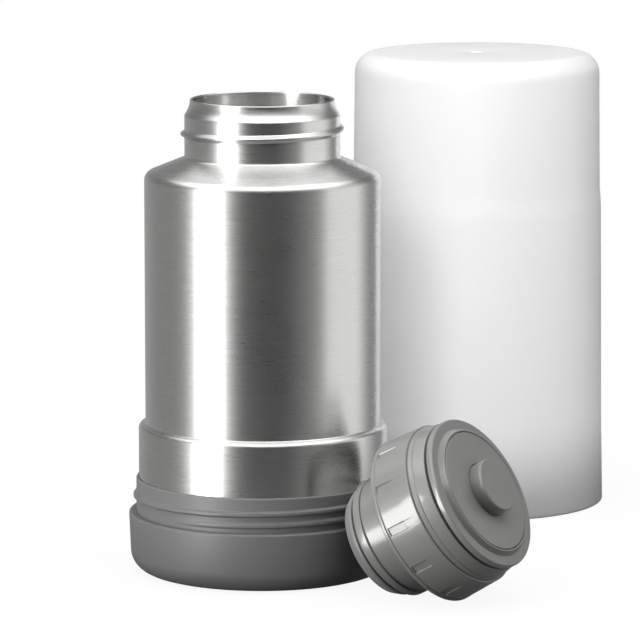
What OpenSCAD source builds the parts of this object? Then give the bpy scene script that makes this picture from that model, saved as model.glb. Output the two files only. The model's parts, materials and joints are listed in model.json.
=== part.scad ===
// Travel bottle warmer: an insulated steel flask in a grey boot, its push-button
// stopper lying beside it, and a tall translucent cover that stands behind it.
// Millimetres. The origin is on the ground at the flask's axis, with +Z up.

/* [Steel flask] */
// Height of the lip above the ground
flask_h = 190.2; // [175:0.1:230]
// Outer radius of the body
body_r = 47.1; // [44:0.1:56]
// How far the steel skirt stands out of the body
skirt_out = 2.7; // [1.5:0.1:4]
// Top of the steel skirt
skirt_top_z = 59.4; // [45:0.1:90]
// Outer radius of the neck
neck_r = 31; // [29:0.1:35]
// Height of the neck from the shoulder to the lip
neck_h = 23.2; // [21:0.1:30]
// Fall of the sloping shoulder
shoulder_drop = 6.6; // [4:0.1:10]
// Rounding between the shoulder and the body
shoulder_round = 3.5; // [2:0.5:9]
// How far the lip stands in from the neck
lip_in = 2.2; // [1:0.1:3]
// Height of the straight lip
lip_h = 2.8; // [2:0.1:4]
// Height of the cone from the lip to the neck
lip_cone_h = 3.6; // [2:0.1:5]
// How far the throat stands in from the neck
throat_in = 5.6; // [5:0.1:6.5]
// Thickness of the outer shell
shell_wall = 0.5; // [0.4:0.05:0.8]
// Thickness of the inner liner
liner_wall = 0.5; // [0.4:0.05:0.8]
// Vacuum space between the shell and the liner
vacuum_gap = 2.2; // [1.5:0.1:4]
// Vacuum space under the liner's floor
floor_gap = 4; // [2.5:0.1:8]
// Rounding inside the liner
liner_round = 8; // [4:0.5:12]
// Thickness of the welded base disc
disc_t = 0.6; // [0.5:0.05:1]

/* [Neck bead] */
// How far the rolled bead stands out of the neck
bead_h = 1.6; // [1:0.1:2]
// Width of the bead at its foot
bead_w = 3.2; // [2:0.1:3.6]
// Rise of the bead in one turn
bead_lead = 4.1; // [3.8:0.1:5]
// Height of the bead's lower end above the shoulder
bead_rise = 8.4; // [6:0.1:9.4]

/* [Base] */
// Top of the threaded collar
collar_top_z = 38; // [36:0.1:44]
// Thickness of the collar under its thread
collar_wall = 1.05; // [0.9:0.05:2]
// Height of the ledge that the collar stands on
collar_seat_z = 16; // [12:0.5:20]
// How far the collar's thread stands out
thread_h = 1.2; // [0.8:0.1:1.6]
// Width of the collar's thread at its foot
thread_w = 2.4; // [1.8:0.1:3]
// Rise of the collar's thread in one turn
thread_lead = 4.5; // [4:0.1:5]
// Height of the thread's lower end above the boot
thread_rise = 2.5; // [1.4:0.1:3.5]
// Thickness of the boot round the collar
boot_wall = 3; // [2.4:0.05:5]
// Top of the boot
boot_top_z = 24.1; // [22:0.1:26]
// How far the boot narrows towards the ground
boot_taper = 1; // [0:0.1:1.5]
// Rounding at the foot of the boot
boot_foot_round = 8.5; // [4:0.5:12]
// Rounding at the top of the boot
boot_top_round = 1; // [0.5:0.1:2.5]
// Thickness of the boot's floor
boot_floor_t = 3.5; // [3:0.1:5]
// Thickness of the foam cushion in the boot
cushion_t = 4; // [2:0.1:6]

/* [Stopper] */
// Clearance between the neck's bead and the stopper's skirt
skirt_clear = 0.3; // [0.2:0.05:0.6]
// Thickness of the stopper's skirt
skirt_wall = 1.4; // [1.2:0.05:2]
// Height of the main part of the skirt
skirt_h = 16.8; // [15:0.1:19]
// Height of the first step above the skirt
step_h = 2.5; // [1.5:0.1:4]
// How far the first step leans in
step_in = 1; // [0.5:0.1:1.4]
// Height of the tapered band above the step
band_h = 5; // [4:0.1:7]
// How far the tapered band leans in
band_in = 1.2; // [0.6:0.1:1.6]
// Number of shallow notches round the rim
notch_count = 12; // [6:1:18]
// Width of a notch
notch_w = 3.5; // [1.5:0.1:4.5]
// Distance from the rim to the end of a notch
notch_end = 10.3; // [6:0.1:12]
// Depth of a notch at the rim
notch_depth = 0.65; // [0.2:0.05:0.7]
// Depth of the plug below the rim of the skirt
plug_depth = 23.5; // [20:0.1:26]
// Clearance between the plug's flange and the throat
plug_clear = 0.5; // [0.3:0.05:0.8]
// How far the plug's flange stands out of the plug
plug_flange_out = 0.9; // [0.5:0.05:1.2]
// Thickness of the plug's flange
plug_flange_t = 3.2; // [2:0.1:4]
// Thickness of the plug's walls
plug_wall = 1.5; // [1.2:0.1:2]
// How far the gasket stands in from the plug
gasket_in = 0.9; // [0.6:0.1:1.2]
// Width of the gasket's ring
gasket_w = 3.2; // [2.9:0.1:4]
// Height of the gasket
gasket_h = 4.9; // [4:0.1:5.6]
// How far the gasket stands past the end of the plug
gasket_proud = 0.4; // [0.2:0.1:0.8]
// How far the gasket narrows towards its end
gasket_taper = 2; // [1.6:0.1:2.2]

/* [Stopper top] */
// Pouring slot between the skirt and the cap
pour_slot = 1.2; // [0.5:0.1:1.6]
// How far the cap's flange stands in from the skirt's band
cap_in = 0; // [0:0.1:1]
// Thickness of the cap's flange
cap_flange_t = 2.5; // [2.2:0.1:3.5]
// How far the drum stands in from the cap's flange
drum_in = 4.2; // [3:0.1:4.4]
// How far the drum leans in
drum_lean = 1.4; // [0.6:0.1:2]
// Height of the drum
drum_h = 2; // [1.6:0.1:3]
// Rise of the domed face plate
face_rise = 0.6; // [0:0.05:1]
// Radius of the push button
button_r = 10.9; // [10:0.1:12]
// Travel of the button
button_travel = 3.5; // [2.5:0.1:4.5]
// How far the pressed button still stands out of the face
button_left = 1.7; // [0.4:0.1:2]
// Radius of the valve stem
stem_r = 3; // [2.4:0.1:3.4]
// Radius of the valve disc
valve_r = 11.4; // [10.6:0.1:12.4]
// Width of the ring that the valve closes on
seat_land = 3.4; // [2.4:0.1:4]
// Depth of the valve's well in the end of the plug
well_depth = 5.4; // [4.6:0.1:6]
// Wire diameter of the return spring
wire_d = 1; // [0.7:0.05:1.3]
// Clearance between the return spring and the boss inside it
spring_clear = 1.6; // [1:0.1:2.2]
// Turns of the return spring
spring_turns = 7; // [5:1:9]

/* [Cover] */
// Height of the cover
cover_h = 194; // [185:0.5:230]
// Clearance between the cover's bore and the collar's thread
cover_clear = 0.5; // [0.3:0.05:0.8]
// Thickness of the cover's wall
cover_wall = 1.9; // [1.4:0.1:2.6]
// Thickness of the cover's rim
cover_rim_wall = 2.6; // [2:0.1:3.5]
// Height of the flared band at the rim
cover_band_z = 36; // [25:0.5:45]
// Height of the small step in the wall
cover_step_z = 129; // [100:0.5:160]
// Depth of the small step
cover_step = 0.6; // [0.3:0.1:1.5]
// How much the cover's radius narrows from its band to its top, besides the step
cover_draft = 1.6; // [0:0.1:2.4]
// Rounding of the top edge
cover_round = 8.5; // [4:0.5:14]

/* [Layout] */
// Space between the collar and the nearest the stopper can come
stopper_gap = 0; // [0:0.1:40]
// Bearing of the stopper's resting point from the flask
stopper_bearing = -37.5; // [-60:0.5:-20]
// Heading of the stopper's axis on the ground
stopper_heading = -29.1; // [-45:0.1:-15]
// Clear space between the boot and the cover
cover_gap = 66.3; // [10:0.1:150]
// Bearing of the cover from the flask
cover_bearing = 59; // [40:0.1:140]

/* [Hidden] */
$fn = 96;
// Clearance of pieces that are fixed together
fit = 0.05;
// Clearance of a shaft that runs in a bore
running = 0.06;
// Clearance of pieces that move past each other
free = 0.3;
// Overlap of shapes that make one piece
weld = 0.25;
// Number of facets in a rounded corner
arc_steps = 8;
// Roundings of edges, from the sharpest to the softest
crisp_round = 0.3;
edge_round = 0.5;
soft_round = 0.8;

// Threads: how far a thread's ends fade out, and a crest's width over its foot's
fade_angle = 60;
crest_share = 0.4;
bead_start = 100;
thread_start = 225;
thread_turns = 1.6;
inner_thread_turns = 1.2;
cover_thread_turns = 1.5;
thread_clear = 0.4;

// Flask
shell_bottom_z = boot_floor_t + cushion_t + 2 * fit;
disc_top_z = shell_bottom_z + disc_t;
liner_floor_z = disc_top_z + floor_gap + liner_wall;
skirt_r = body_r + skirt_out;
skirt_round_most = 2;
skirt_round_share = 0.8;
skirt_round = min(skirt_round_most, skirt_round_share * skirt_out);
skirt_rise = 0.6;
shoulder_z = flask_h - neck_h;
neck_foot_round = 3;
neck_top_z = flask_h - lip_h - lip_cone_h;
lip_r = neck_r - lip_in;
bend_room = 0.1;
shell_bend = shell_wall + bend_room;
liner_bend = liner_wall + bend_room;
liner_r = body_r - shell_wall - vacuum_gap - liner_wall;
mouth_r = lip_r - shell_wall - fit - liner_wall;
mouth_drop = 7.5;
throat_r = neck_r - throat_in;
throat_drop = 7;
disc_r = skirt_r - shell_wall - fit;
seal_pin_r = 2;
seal_head_r = 5;
seal_head_t = 1.2;
seal_room = 1;
getter_r = 6;
getter_t = 1.6;
getter_at = 24;
foil_t = 0.2;
foil_margin = 1;
bead_z = shoulder_z + bead_rise;
bead_crest_r = neck_r + bead_h;

// Base
collar_r = skirt_r + fit + collar_wall;
collar_round_share = 0.6;
collar_round = collar_round_share * collar_wall;
thread_crest_r = collar_r + thread_h;
boot_r = collar_r + fit + boot_wall;
boot_foot_share = 2.8;
boot_foot_wall = min(boot_wall + collar_wall - boot_taper, boot_floor_t);
boot_foot = min(boot_foot_round, boot_foot_share * boot_foot_wall);
boot_land = 0.2;
boot_edge = min(boot_top_round, boot_wall - boot_land);

// Stopper, along its own axis from the rim of the skirt
thread_zone_r = bead_crest_r + skirt_clear;
thread_zone_h = 10.5;
thread_zone_slope = 0.9;
inner_thread_w = 2.2;
inner_thread_z = 3;
rim_r = thread_zone_r + skirt_wall;
rim_band_h = 1.4;
rim_band_fall = 0.4;
rim_band_out = 0.15;
notch_low = rim_band_h + edge_round;
notch_reach = 5;
neck_room = 1;
upper_r = neck_r + neck_room;
main_r = upper_r + skirt_wall;
step_edge = 0.6;
step_fall = 0.4;
band_z = skirt_h + step_h;
band_top_r = main_r - step_in - band_in;
deck_top = band_z + band_h;
deck_t = 2;
deck_z = deck_top - deck_t;
band_bore_r = main_r - step_in - band_in * (deck_z - band_z) / band_h - skirt_wall;
deck_hole_room = 0.5;

// Cap, face plate and button
cap_r = band_top_r - cap_in;
cap_z = deck_top + pour_slot;
cap_flange_top = cap_z + cap_flange_t;
drum_foot_r = cap_r - drum_in;
drum_top_r = drum_foot_r - drum_lean;
drum_top = cap_flange_top + drum_h;
drum_wall = 0.6;
plate_r = drum_top_r - drum_wall - free;
plate_t = 1.3;
plate_seat = drum_top - plate_t;
plate_room = 0.2;
roof_t = 1.6;
roof_z = plate_seat - roof_t;
cap_wall = 1.8;
sleeve_wall = 1.5;
sleeve_r = button_r + running;
sleeve_drop = 1.4;
sleeve_low = roof_z - sleeve_drop;
foot_r = 1.6;
foot_count = 6;
foot_at = cap_r - 2 * foot_r;
foot_sink = 0.8;
cap_land = 0.2;
face_top = drum_top + face_rise;
button_top = face_top + button_left + button_travel;
button_wall = 1.5;
button_round = 0.9;
button_lip_out = 1.4;
button_lip_r = button_r + button_lip_out;
button_lip_t = 1.2;
button_lip_top = sleeve_low - free;
button_low = button_lip_top - button_lip_t;
boss_wall = 1.4;
boss_r = stem_r + boss_wall;
boss_lift = 2;
boss_low = button_low + boss_lift;
stem_top = button_top - button_wall - fit;

// Plug and gaskets
channel_room = 0.7;
channel_r = button_lip_r + channel_room;
tube_r = channel_r + plug_wall;
plug_flange_r = throat_r - plug_clear;
plug_r = plug_flange_r - plug_flange_out;
plug_end = -plug_depth;
gasket_r = plug_r - gasket_in;
gasket_end = plug_end - gasket_proud;
gasket_top = gasket_end + gasket_h;
gasket_lip = 1.3;
gasket_room = 0.2;
gasket_shelf = 1.8;
spigot_r = gasket_r - gasket_w;
groove_depth = 1.7;
groove_r = plug_r - groove_depth;
plug_flange_z = gasket_top + gasket_room + gasket_shelf;
plug_flange_top = plug_flange_z + plug_flange_t;
neck_gasket_t = 1.4;
neck_gasket_room = 1.2;
neck_gasket_in = plug_r + neck_gasket_room;
neck_gasket_edge = 0.4;
neck_gasket_out = band_bore_r - neck_gasket_edge;

// Valve and spring
seat_z = plug_end + well_depth;
seat_t = 2;
seat_hole_r = valve_r - seat_land;
well_room = 1.1;
valve_well_r = valve_r + well_room;
guide_drop = 12.3;
guide_z = deck_z - guide_drop;
guide_t = 2;
guide_hub_wall = 1.6;
guide_hub_r = stem_r + guide_hub_wall;
port_count = 6;
port_r = 2.3;
port_shift = 0.3;
port_at = (guide_hub_r + channel_r) / 2 - port_shift;
port_over = 1;
valve_seal_t = 0.6;
valve_seal_room = 0.6;
valve_seal_in = seat_hole_r + valve_seal_room;
valve_seal_edge = 0.2;
valve_seal_out = valve_r - valve_seal_edge;
valve_top = seat_z - free - valve_seal_t;
valve_t = 1.5;
valve_low = valve_top - valve_t - fit;
clip_out = 2;
clip_r = stem_r + clip_out;
clip_t = 0.7;
clip_groove = 0.6;
clip_top = valve_low - fit;
stem_end = 0.3;
stem_low = clip_top - clip_t - stem_end;
spring_r = boss_r + spring_clear + wire_d / 2;
spring_low = guide_z + guide_t + fit;
spring_top = button_top - button_wall - fit;
turn_rings = 8;
wire_sides = 6;

// Seat of the stopper in the neck when it is screwed on
closed_rim_z = flask_h - deck_z + neck_gasket_t + fit;
ledge_z = closed_rim_z + gasket_end - fit;
ledge_room = 0.5;
ledge_r = spigot_r + ledge_room;
ledge_fall = 1;
ledge_ring_h = 3;
ledge_low = ledge_z - ledge_fall - ledge_ring_h;
liner_shoulder_drop = 8;
liner_top_z = ledge_low - liner_shoulder_drop;

// Cover
cover_inner_r = thread_crest_r + cover_clear;
cover_rim_r = cover_inner_r + cover_rim_wall;
cover_r = cover_inner_r + cover_wall;
cover_mid_r = cover_r - cover_draft * (cover_step_z - cover_band_z) / (cover_h - cover_band_z);
cover_top_r = cover_r - cover_step - cover_draft;
cover_inner_top_r = cover_top_r - cover_wall;
cover_step_rise = 8;
cover_step_round = 30;
cover_edge_least = 1;
cover_edge = max(cover_edge_least, cover_round - cover_wall);
cover_thread_w = 2.2;
cover_thread_z = 6;
gate_r = 3;
gate_depth = 0.5;
cover_at = boot_r + cover_gap + cover_rim_r;

// Resting pose of the stopper: it leans from its rim onto whatever of the plug meets the ground first
function lean(radius, depth) = atan((rim_r - radius) / depth);
stopper_tilt = min(
    lean(plug_flange_r, -plug_flange_z),
    lean(gasket_r, gasket_lip - gasket_top),
    lean(gasket_r - gasket_taper, -gasket_end)
);
stopper_reach = -gasket_end * cos(stopper_tilt) + (rim_r + gasket_r - gasket_taper) * sin(stopper_tilt);
stopper_at = thread_crest_r + stopper_gap + stopper_reach;
rest_height = (rim_r - edge_round) * cos(stopper_tilt) - edge_round * sin(stopper_tilt) + edge_round;
rest_shift = (rim_r - edge_round) * sin(stopper_tilt) + edge_round * cos(stopper_tilt);

// Direction of a vector, and its right-hand normal
function unit(v) = v / norm(v);
function right_of(v) = [v.y, -v.x];

// Points of one rounded corner between its two neighbours
function corner(a, b, c, radius) =
    let (u = unit(a - b), w = unit(c - b), half = acos(u * w) / 2)
    let (centre = b + unit(u + w) * radius / sin(half))
    let (first = b + u * radius / tan(half) - centre, last = b + w * radius / tan(half) - centre)
    let (turn = asin(max(-1, min(1, (first.x * last.y - first.y * last.x) / radius / radius))))
    [for (i = [0 : arc_steps])
        let (angle = turn * i / arc_steps)
        centre + [first.x * cos(angle) - first.y * sin(angle), first.x * sin(angle) + first.y * cos(angle)]];

// Open outline from corners of [radius, height, rounding]
function outline(corners) =
    let (flat = [for (c = corners) [c.x, c.y]], last = len(corners) - 1)
    [for (i = [0 : last])
        each (i == 0 || i == last || corners[i].z == 0 ? [flat[i]]
            : corner(flat[i - 1], flat[i], flat[i + 1], corners[i].z))];

// The same outline moved to its right by a wall's thickness
function beside(path, wall) =
    let (last = len(path) - 1)
    [for (i = [0 : last])
        let (before = right_of(unit(path[max(i, 1)] - path[max(i, 1) - 1])))
        let (after = right_of(unit(path[min(i, last - 1) + 1] - path[min(i, last - 1)])))
        path[i] + wall * (before + after) / (1 + before * after)];

function reversed(path) = [for (i = [len(path) - 1 : -1 : 0]) path[i]];

// Solid of revolution between an outline and the same outline moved to its right
module turned_wall(path, wall) {
    rotate_extrude()
        polygon(concat(path, reversed(beside(path, wall))));
}

module turned(points) {
    rotate_extrude()
        polygon(points);
}

module tube(outer, inner, low, high) {
    turned([[inner, low], [outer, low], [outer, high], [inner, high]]);
}

// Helical ridge: its section is a trapezium whose ends fade into the wall
module ridge(root_r, crest_r, foot_w, low, lead, start, turns, steps = 36) {
    count = round(turns * steps);
    fade = steps * fade_angle / 360;
    crest_w = foot_w * crest_share;
    sink = root_r < crest_r ? -weld : weld;
    points = [for (i = [0 : count])
        let (grow = min(1, min(i, count - i) / fade))
        let (a = start + 360 * i / steps, z = low + lead * i / steps)
        let (tip = root_r + sink / 2 + (crest_r - root_r - sink / 2) * grow)
        each [for (p = [
            [root_r + sink, -foot_w / 2], [tip, -crest_w / 2], [tip, crest_w / 2], [root_r + sink, foot_w / 2]
        ]) [p.x * cos(a), p.x * sin(a), z + p.y]]];
    sides = [for (i = [0 : count - 1], k = [0 : 3])
        let (a = 4 * i + k, b = 4 * i + (k + 1) % 4)
        each [[a, a + 4, b], [b, a + 4, b + 4]]];
    last = 4 * count;
    ends = [[0, 1, 2], [0, 2, 3], [last + 2, last + 1, last], [last + 3, last + 2, last]];
    faces = concat(sides, ends);
    polyhedron(points, root_r > crest_r ? faces : [for (f = faces) [f[2], f[1], f[0]]]);
}

// Puts a piece of the stopper where the stopper lies
module lying() {
    rotate([0, 0, stopper_bearing])
        translate([stopper_at, 0, 0])
            rotate([0, 0, stopper_heading - stopper_bearing])
                translate([-rest_shift, 0, rest_height])
                    rotate([0, 90 - stopper_tilt, 0])
                        children();
}

module standing_cover() {
    rotate([0, 0, cover_bearing])
        translate([cover_at, 0, 0])
            rotate([0, 0, -cover_bearing])
                children();
}

module outer_shell() {
    path = outline([
        [skirt_r, shell_bottom_z, 0],
        [skirt_r, skirt_top_z, skirt_round],
        [body_r, skirt_top_z + skirt_rise, crisp_round],
        [body_r, shoulder_z - shoulder_drop, shoulder_round],
        [neck_r, shoulder_z, neck_foot_round],
        [neck_r, neck_top_z, shell_bend],
        [lip_r, neck_top_z + lip_cone_h, shell_bend],
        [lip_r, flask_h, 0]
    ]);
    color("silver")
        union() {
            turned_wall(path, -shell_wall);
            ridge(neck_r, bead_crest_r, bead_w, bead_z, bead_lead, bead_start, 1);
        }
}

module inner_liner() {
    path = outline([
        [0, liner_floor_z, 0],
        [liner_r, liner_floor_z, liner_round],
        [liner_r, liner_top_z, liner_round],
        [ledge_r, ledge_low, 2 * liner_wall],
        [ledge_r, ledge_z - ledge_fall, liner_bend],
        [throat_r, ledge_z, liner_bend],
        [throat_r, neck_top_z - throat_drop, 2 * liner_wall],
        [mouth_r, neck_top_z + lip_cone_h - mouth_drop, 2 * liner_wall],
        [mouth_r, flask_h, 0]
    ]);
    color("gainsboro")
        turned_wall(path, liner_wall);
}

module base_disc() {
    color("silver")
        tube(disc_r, seal_pin_r + fit, shell_bottom_z, disc_top_z);
}

module vacuum_seal() {
    color("dimgray")
        turned([
            [0, shell_bottom_z - fit - seal_head_t], [seal_head_r, shell_bottom_z - fit - seal_head_t],
            [seal_head_r, shell_bottom_z - fit], [seal_pin_r, shell_bottom_z - fit],
            [seal_pin_r, disc_top_z], [0, disc_top_z]
        ]);
}

module getter() {
    color("slategray")
        translate([getter_at, 0, disc_top_z])
            cylinder(r = getter_r, h = getter_t);
}

module heat_foil() {
    inner = liner_r + liner_wall + fit;
    low = liner_floor_z + liner_round + foil_margin;
    high = liner_top_z - liner_round - foil_margin;
    color("peru")
        tube(inner + foil_t, inner, low, high);
}

module thread_collar() {
    inner = skirt_r + fit;
    path = outline([
        [inner, collar_seat_z + fit, 0],
        [collar_r, collar_seat_z + fit, 0],
        [collar_r, collar_top_z, collar_round],
        [inner, collar_top_z, 0]
    ]);
    color("dimgray")
        union() {
            turned(path);
            ridge(collar_r, thread_crest_r, thread_w, boot_top_z + thread_rise, thread_lead,
                thread_start, thread_turns);
        }
}

module base_boot() {
    path = outline([
        [0, 0, 0],
        [boot_r - boot_taper, 0, boot_foot],
        [boot_r, boot_top_z, boot_edge],
        [collar_r + fit, boot_top_z, 0]
    ]);
    color("gray")
        turned(concat(path, [
            [collar_r + fit, collar_seat_z], [skirt_r + fit, collar_seat_z],
            [skirt_r + fit, boot_floor_t], [0, boot_floor_t]
        ]));
}

module base_cushion() {
    color("darkslategray")
        tube(disc_r, seal_head_r + seal_room, boot_floor_t + fit, boot_floor_t + fit + cushion_t);
}

module stopper_skirt() {
    hole_r = channel_r + deck_hole_room;
    path = outline([
        [thread_zone_r, 0, 0],
        [rim_r, 0, edge_round],
        [rim_r, rim_band_h, crisp_round],
        [rim_r - rim_band_out, rim_band_h + rim_band_fall, 0],
        [main_r, skirt_h, 0],
        [main_r - step_edge, skirt_h + step_fall, 0],
        [main_r - step_in, band_z, crisp_round],
        [band_top_r, deck_top, edge_round],
        [hole_r, deck_top, 0]
    ]);
    color("gray")
        union() {
            difference() {
                turned(concat(path, [
                    [hole_r, deck_z], [band_bore_r, deck_z], [upper_r, skirt_h],
                    [upper_r, thread_zone_h + thread_zone_slope], [thread_zone_r, thread_zone_h]
                ]));
                for (i = [0 : notch_count - 1])
                    rotate([0, 0, 360 * i / notch_count])
                        translate([rim_r - rim_band_out - notch_depth, -notch_w / 2, notch_low])
                            cube([notch_reach, notch_w, notch_end - notch_low]);
            }
            ridge(thread_zone_r, neck_r + thread_clear, inner_thread_w, inner_thread_z, bead_lead, 0,
                inner_thread_turns);
        }
}

module stopper_cap() {
    path = outline([
        [foot_at - foot_r - cap_land, cap_z, 0],
        [cap_r, cap_z, crisp_round],
        [cap_r, cap_flange_top, soft_round],
        [drum_foot_r, cap_flange_top, edge_round],
        [drum_top_r, drum_top, crisp_round],
        [drum_top_r - drum_wall, drum_top, 0]
    ]);
    color("gray")
        union() {
            turned(concat(path, [
                [drum_top_r - drum_wall, plate_seat], [sleeve_r, plate_seat],
                [sleeve_r, sleeve_low], [sleeve_r + sleeve_wall, sleeve_low],
                [sleeve_r + sleeve_wall, roof_z], [drum_foot_r - cap_wall, roof_z]
            ]));
            for (i = [0 : foot_count - 1])
                rotate([0, 0, 360 * (i + 0.5) / foot_count])
                    translate([foot_at, 0, deck_top])
                        cylinder(r = foot_r, h = pour_slot + foot_sink);
        }
}

module face_plate() {
    inner = sleeve_r + plate_room;
    color("gray")
        turned([
            [inner, plate_seat], [plate_r, plate_seat],
            each corner([plate_r, plate_seat], [plate_r, drum_top], [inner, face_top], crisp_round),
            [inner, face_top]
        ]);
}

module plug_body() {
    shell = outline([
        [spigot_r, plug_end, 0],
        [spigot_r, gasket_top + gasket_room, 0],
        [groove_r, gasket_top + gasket_room, 0],
        [groove_r, plug_flange_z, 0],
        [plug_flange_r, plug_flange_z, edge_round],
        [plug_flange_r, plug_flange_top, crisp_round],
        [plug_r, plug_flange_top + crisp_round, 0],
        [plug_r, deck_z - fit, 0]
    ]);
    color("gray")
        union() {
            turned(concat(
                [[valve_well_r, plug_end]],
                shell,
                [
                    [plug_r - plug_wall, deck_z - fit], [plug_r - plug_wall, seat_z + seat_t],
                    [tube_r, seat_z + seat_t], [tube_r, deck_z - fit], [channel_r, deck_z - fit],
                    [channel_r, seat_z + seat_t], [seat_hole_r, seat_z + seat_t],
                    [seat_hole_r, seat_z], [valve_well_r, seat_z]
                ]
            ));
            difference() {
                tube(channel_r + weld, stem_r + running, guide_z, guide_z + guide_t);
                for (i = [0 : port_count - 1])
                    rotate([0, 0, 360 * i / port_count])
                        translate([port_at, 0, guide_z - port_over])
                            cylinder(r = port_r, h = guide_t + 2 * port_over);
            }
        }
}

module insulation_core() {
    color("ivory")
        tube(plug_r - plug_wall - fit, tube_r + fit, seat_z + seat_t + fit, deck_z - 2 * fit);
}

module plug_gasket() {
    path = outline([
        [spigot_r + fit, gasket_end, 0],
        [gasket_r - gasket_taper, gasket_end, soft_round],
        [gasket_r, gasket_top - gasket_lip, soft_round],
        [gasket_r, gasket_top, edge_round],
        [spigot_r + fit, gasket_top, 0]
    ]);
    color("lightgray")
        turned(path);
}

module neck_gasket() {
    color("lightgray")
        tube(neck_gasket_out, neck_gasket_in, deck_z - fit - neck_gasket_t, deck_z - fit);
}

module push_button() {
    path = outline([
        [0, button_top, 0],
        [button_r, button_top, button_round],
        [button_r, button_lip_top, 0],
        [button_lip_r, button_lip_top, 0],
        [button_lip_r, button_low, 0]
    ]);
    inner = button_r - button_wall;
    color("gray")
        turned(concat(path, [
            [inner, button_low], [inner, button_top - button_wall], [boss_r, button_top - button_wall],
            [boss_r, boss_low], [stem_r + fit, boss_low], [stem_r + fit, stem_top + fit], [0, stem_top + fit]
        ]));
}

// Centre line of the return spring, from its lower end to its upper one
function spring_points() =
    let (rise = spring_top - spring_low - wire_d, rings = turn_rings * spring_turns)
    [for (i = [0 : rings])
        let (a = 360 * i / turn_rings)
        [spring_r * cos(a), spring_r * sin(a), spring_low + wire_d / 2 + rise * i / rings]];

// Least space between neighbouring turns of the spring
spring_gap = let (p = spring_points())
    let (near = turn_rings - 2)
    min([for (i = [0 : len(p) - near - 1], j = [i + near : len(p) - 1]) norm(p[i] - p[j])]) - wire_d;
echo(spring_gap = spring_gap);

module button_spring() {
    centre = spring_points();
    count = len(centre) - 1;
    sides = wire_sides;
    points = [for (i = [0 : count], k = [0 : sides - 1])
        let (a = 360 * i / turn_rings, b = 360 * k / sides)
        centre[i] + wire_d / 2 * [cos(b) * cos(a), cos(b) * sin(a), sin(b)]];
    skin = [for (i = [0 : count - 1], k = [0 : sides - 1])
        let (a = sides * i + k, b = sides * i + (k + 1) % sides)
        each [[a, b, a + sides], [b, b + sides, a + sides]]];
    ends = [for (k = [1 : sides - 2])
        each [[0, k + 1, k], [sides * count, sides * count + k, sides * count + k + 1]]];
    color("silver")
        polyhedron(points, concat(skin, ends));
}

module valve_stem() {
    color("silver")
        difference() {
            translate([0, 0, stem_low])
                cylinder(r = stem_r, h = stem_top - stem_low);
            tube(stem_r + weld, stem_r - clip_groove, clip_top - clip_t - fit, clip_top + fit);
        }
}

module valve_disc() {
    color("gray")
        tube(valve_r, stem_r + fit, valve_low, valve_low + valve_t);
}

module valve_seal() {
    color("lightgray")
        tube(valve_seal_out, valve_seal_in, valve_top, valve_top + valve_seal_t);
}

module stem_clip() {
    color("silver")
        tube(clip_r, stem_r - clip_groove + fit, clip_top - clip_t, clip_top);
}

module cover_shell() {
    path = outline([
        [cover_inner_r, 0, 0],
        [cover_rim_r, 0, soft_round],
        [cover_r, cover_band_z, edge_round],
        [cover_mid_r, cover_step_z, cover_step_round],
        [cover_mid_r - cover_step, cover_step_z + cover_step_rise, cover_step_round],
        [cover_top_r, cover_h, cover_round],
        [0, cover_h, 0]
    ]);
    inside = outline([
        [0, cover_h - cover_wall, 0],
        [cover_inner_top_r, cover_h - cover_wall, cover_edge],
        [cover_mid_r - cover_step - cover_wall, cover_step_z + cover_step_rise, crisp_round],
        [cover_mid_r - cover_wall, cover_step_z, crisp_round],
        [cover_inner_r, cover_band_z, 0]
    ]);
    color("whitesmoke", 0.6)
        difference() {
            union() {
                turned(concat(path, inside));
                ridge(cover_inner_r, collar_r + thread_clear, cover_thread_w, cover_thread_z, thread_lead,
                    0, cover_thread_turns);
            }
            translate([0, 0, cover_h - gate_depth])
                cylinder(r = gate_r, h = gate_depth + weld);
        }
}

outer_shell();
inner_liner();
base_disc();
vacuum_seal();
getter();
heat_foil();
thread_collar();
base_boot();
base_cushion();
lying() stopper_skirt();
lying() stopper_cap();
lying() face_plate();
lying() plug_body();
lying() insulation_core();
lying() plug_gasket();
lying() neck_gasket();
lying() push_button();
lying() button_spring();
lying() valve_stem();
lying() valve_disc();
lying() valve_seal();
lying() stem_clip();
standing_cover() cover_shell();
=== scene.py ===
"""Looks of a travel bottle warmer: a brushed steel flask in a grey boot, its push-button
stopper lying beside it, and the tall frosted cover that stands behind them.

Sizes are in millimetres, as a maker would note them, and each finished mesh is scaled to
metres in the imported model's frame. Lights, floor and camera are in metres.
"""

import json
import logging
import math
from dataclasses import dataclass, field
from enum import Enum
from typing import Any, ClassVar, Iterable, NamedTuple, Sequence, Union

import bmesh
import bpy
from mathutils import Matrix, Vector


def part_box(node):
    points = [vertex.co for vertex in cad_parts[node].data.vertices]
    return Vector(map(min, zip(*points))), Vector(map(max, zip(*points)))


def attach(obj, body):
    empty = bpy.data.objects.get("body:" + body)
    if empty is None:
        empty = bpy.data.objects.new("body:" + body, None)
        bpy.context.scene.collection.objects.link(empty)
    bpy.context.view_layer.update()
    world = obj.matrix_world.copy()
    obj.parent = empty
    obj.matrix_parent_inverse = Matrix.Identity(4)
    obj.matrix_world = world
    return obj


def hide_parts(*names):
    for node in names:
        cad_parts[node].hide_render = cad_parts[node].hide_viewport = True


LOG = logging.getLogger("bottle_warmer")

MM = 0.001
FULL_TURN = 2.0 * math.pi
AXIS_UP = (0.0, 0.0, 1.0)
ORIGIN = (0.0, 0.0, 0.0)
# Points nearer than this are one point, and points nearer to a wall lie on it, in millimetres
MERGE = 0.0005
ON_WALL = 0.005
# Segments in a rounded corner, sectors that a turn is made of, and angle past which an edge is sharp
ARC_STEPS = 8
SECTORS = 8
SHARP_ANGLE = math.radians(38.0)
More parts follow.
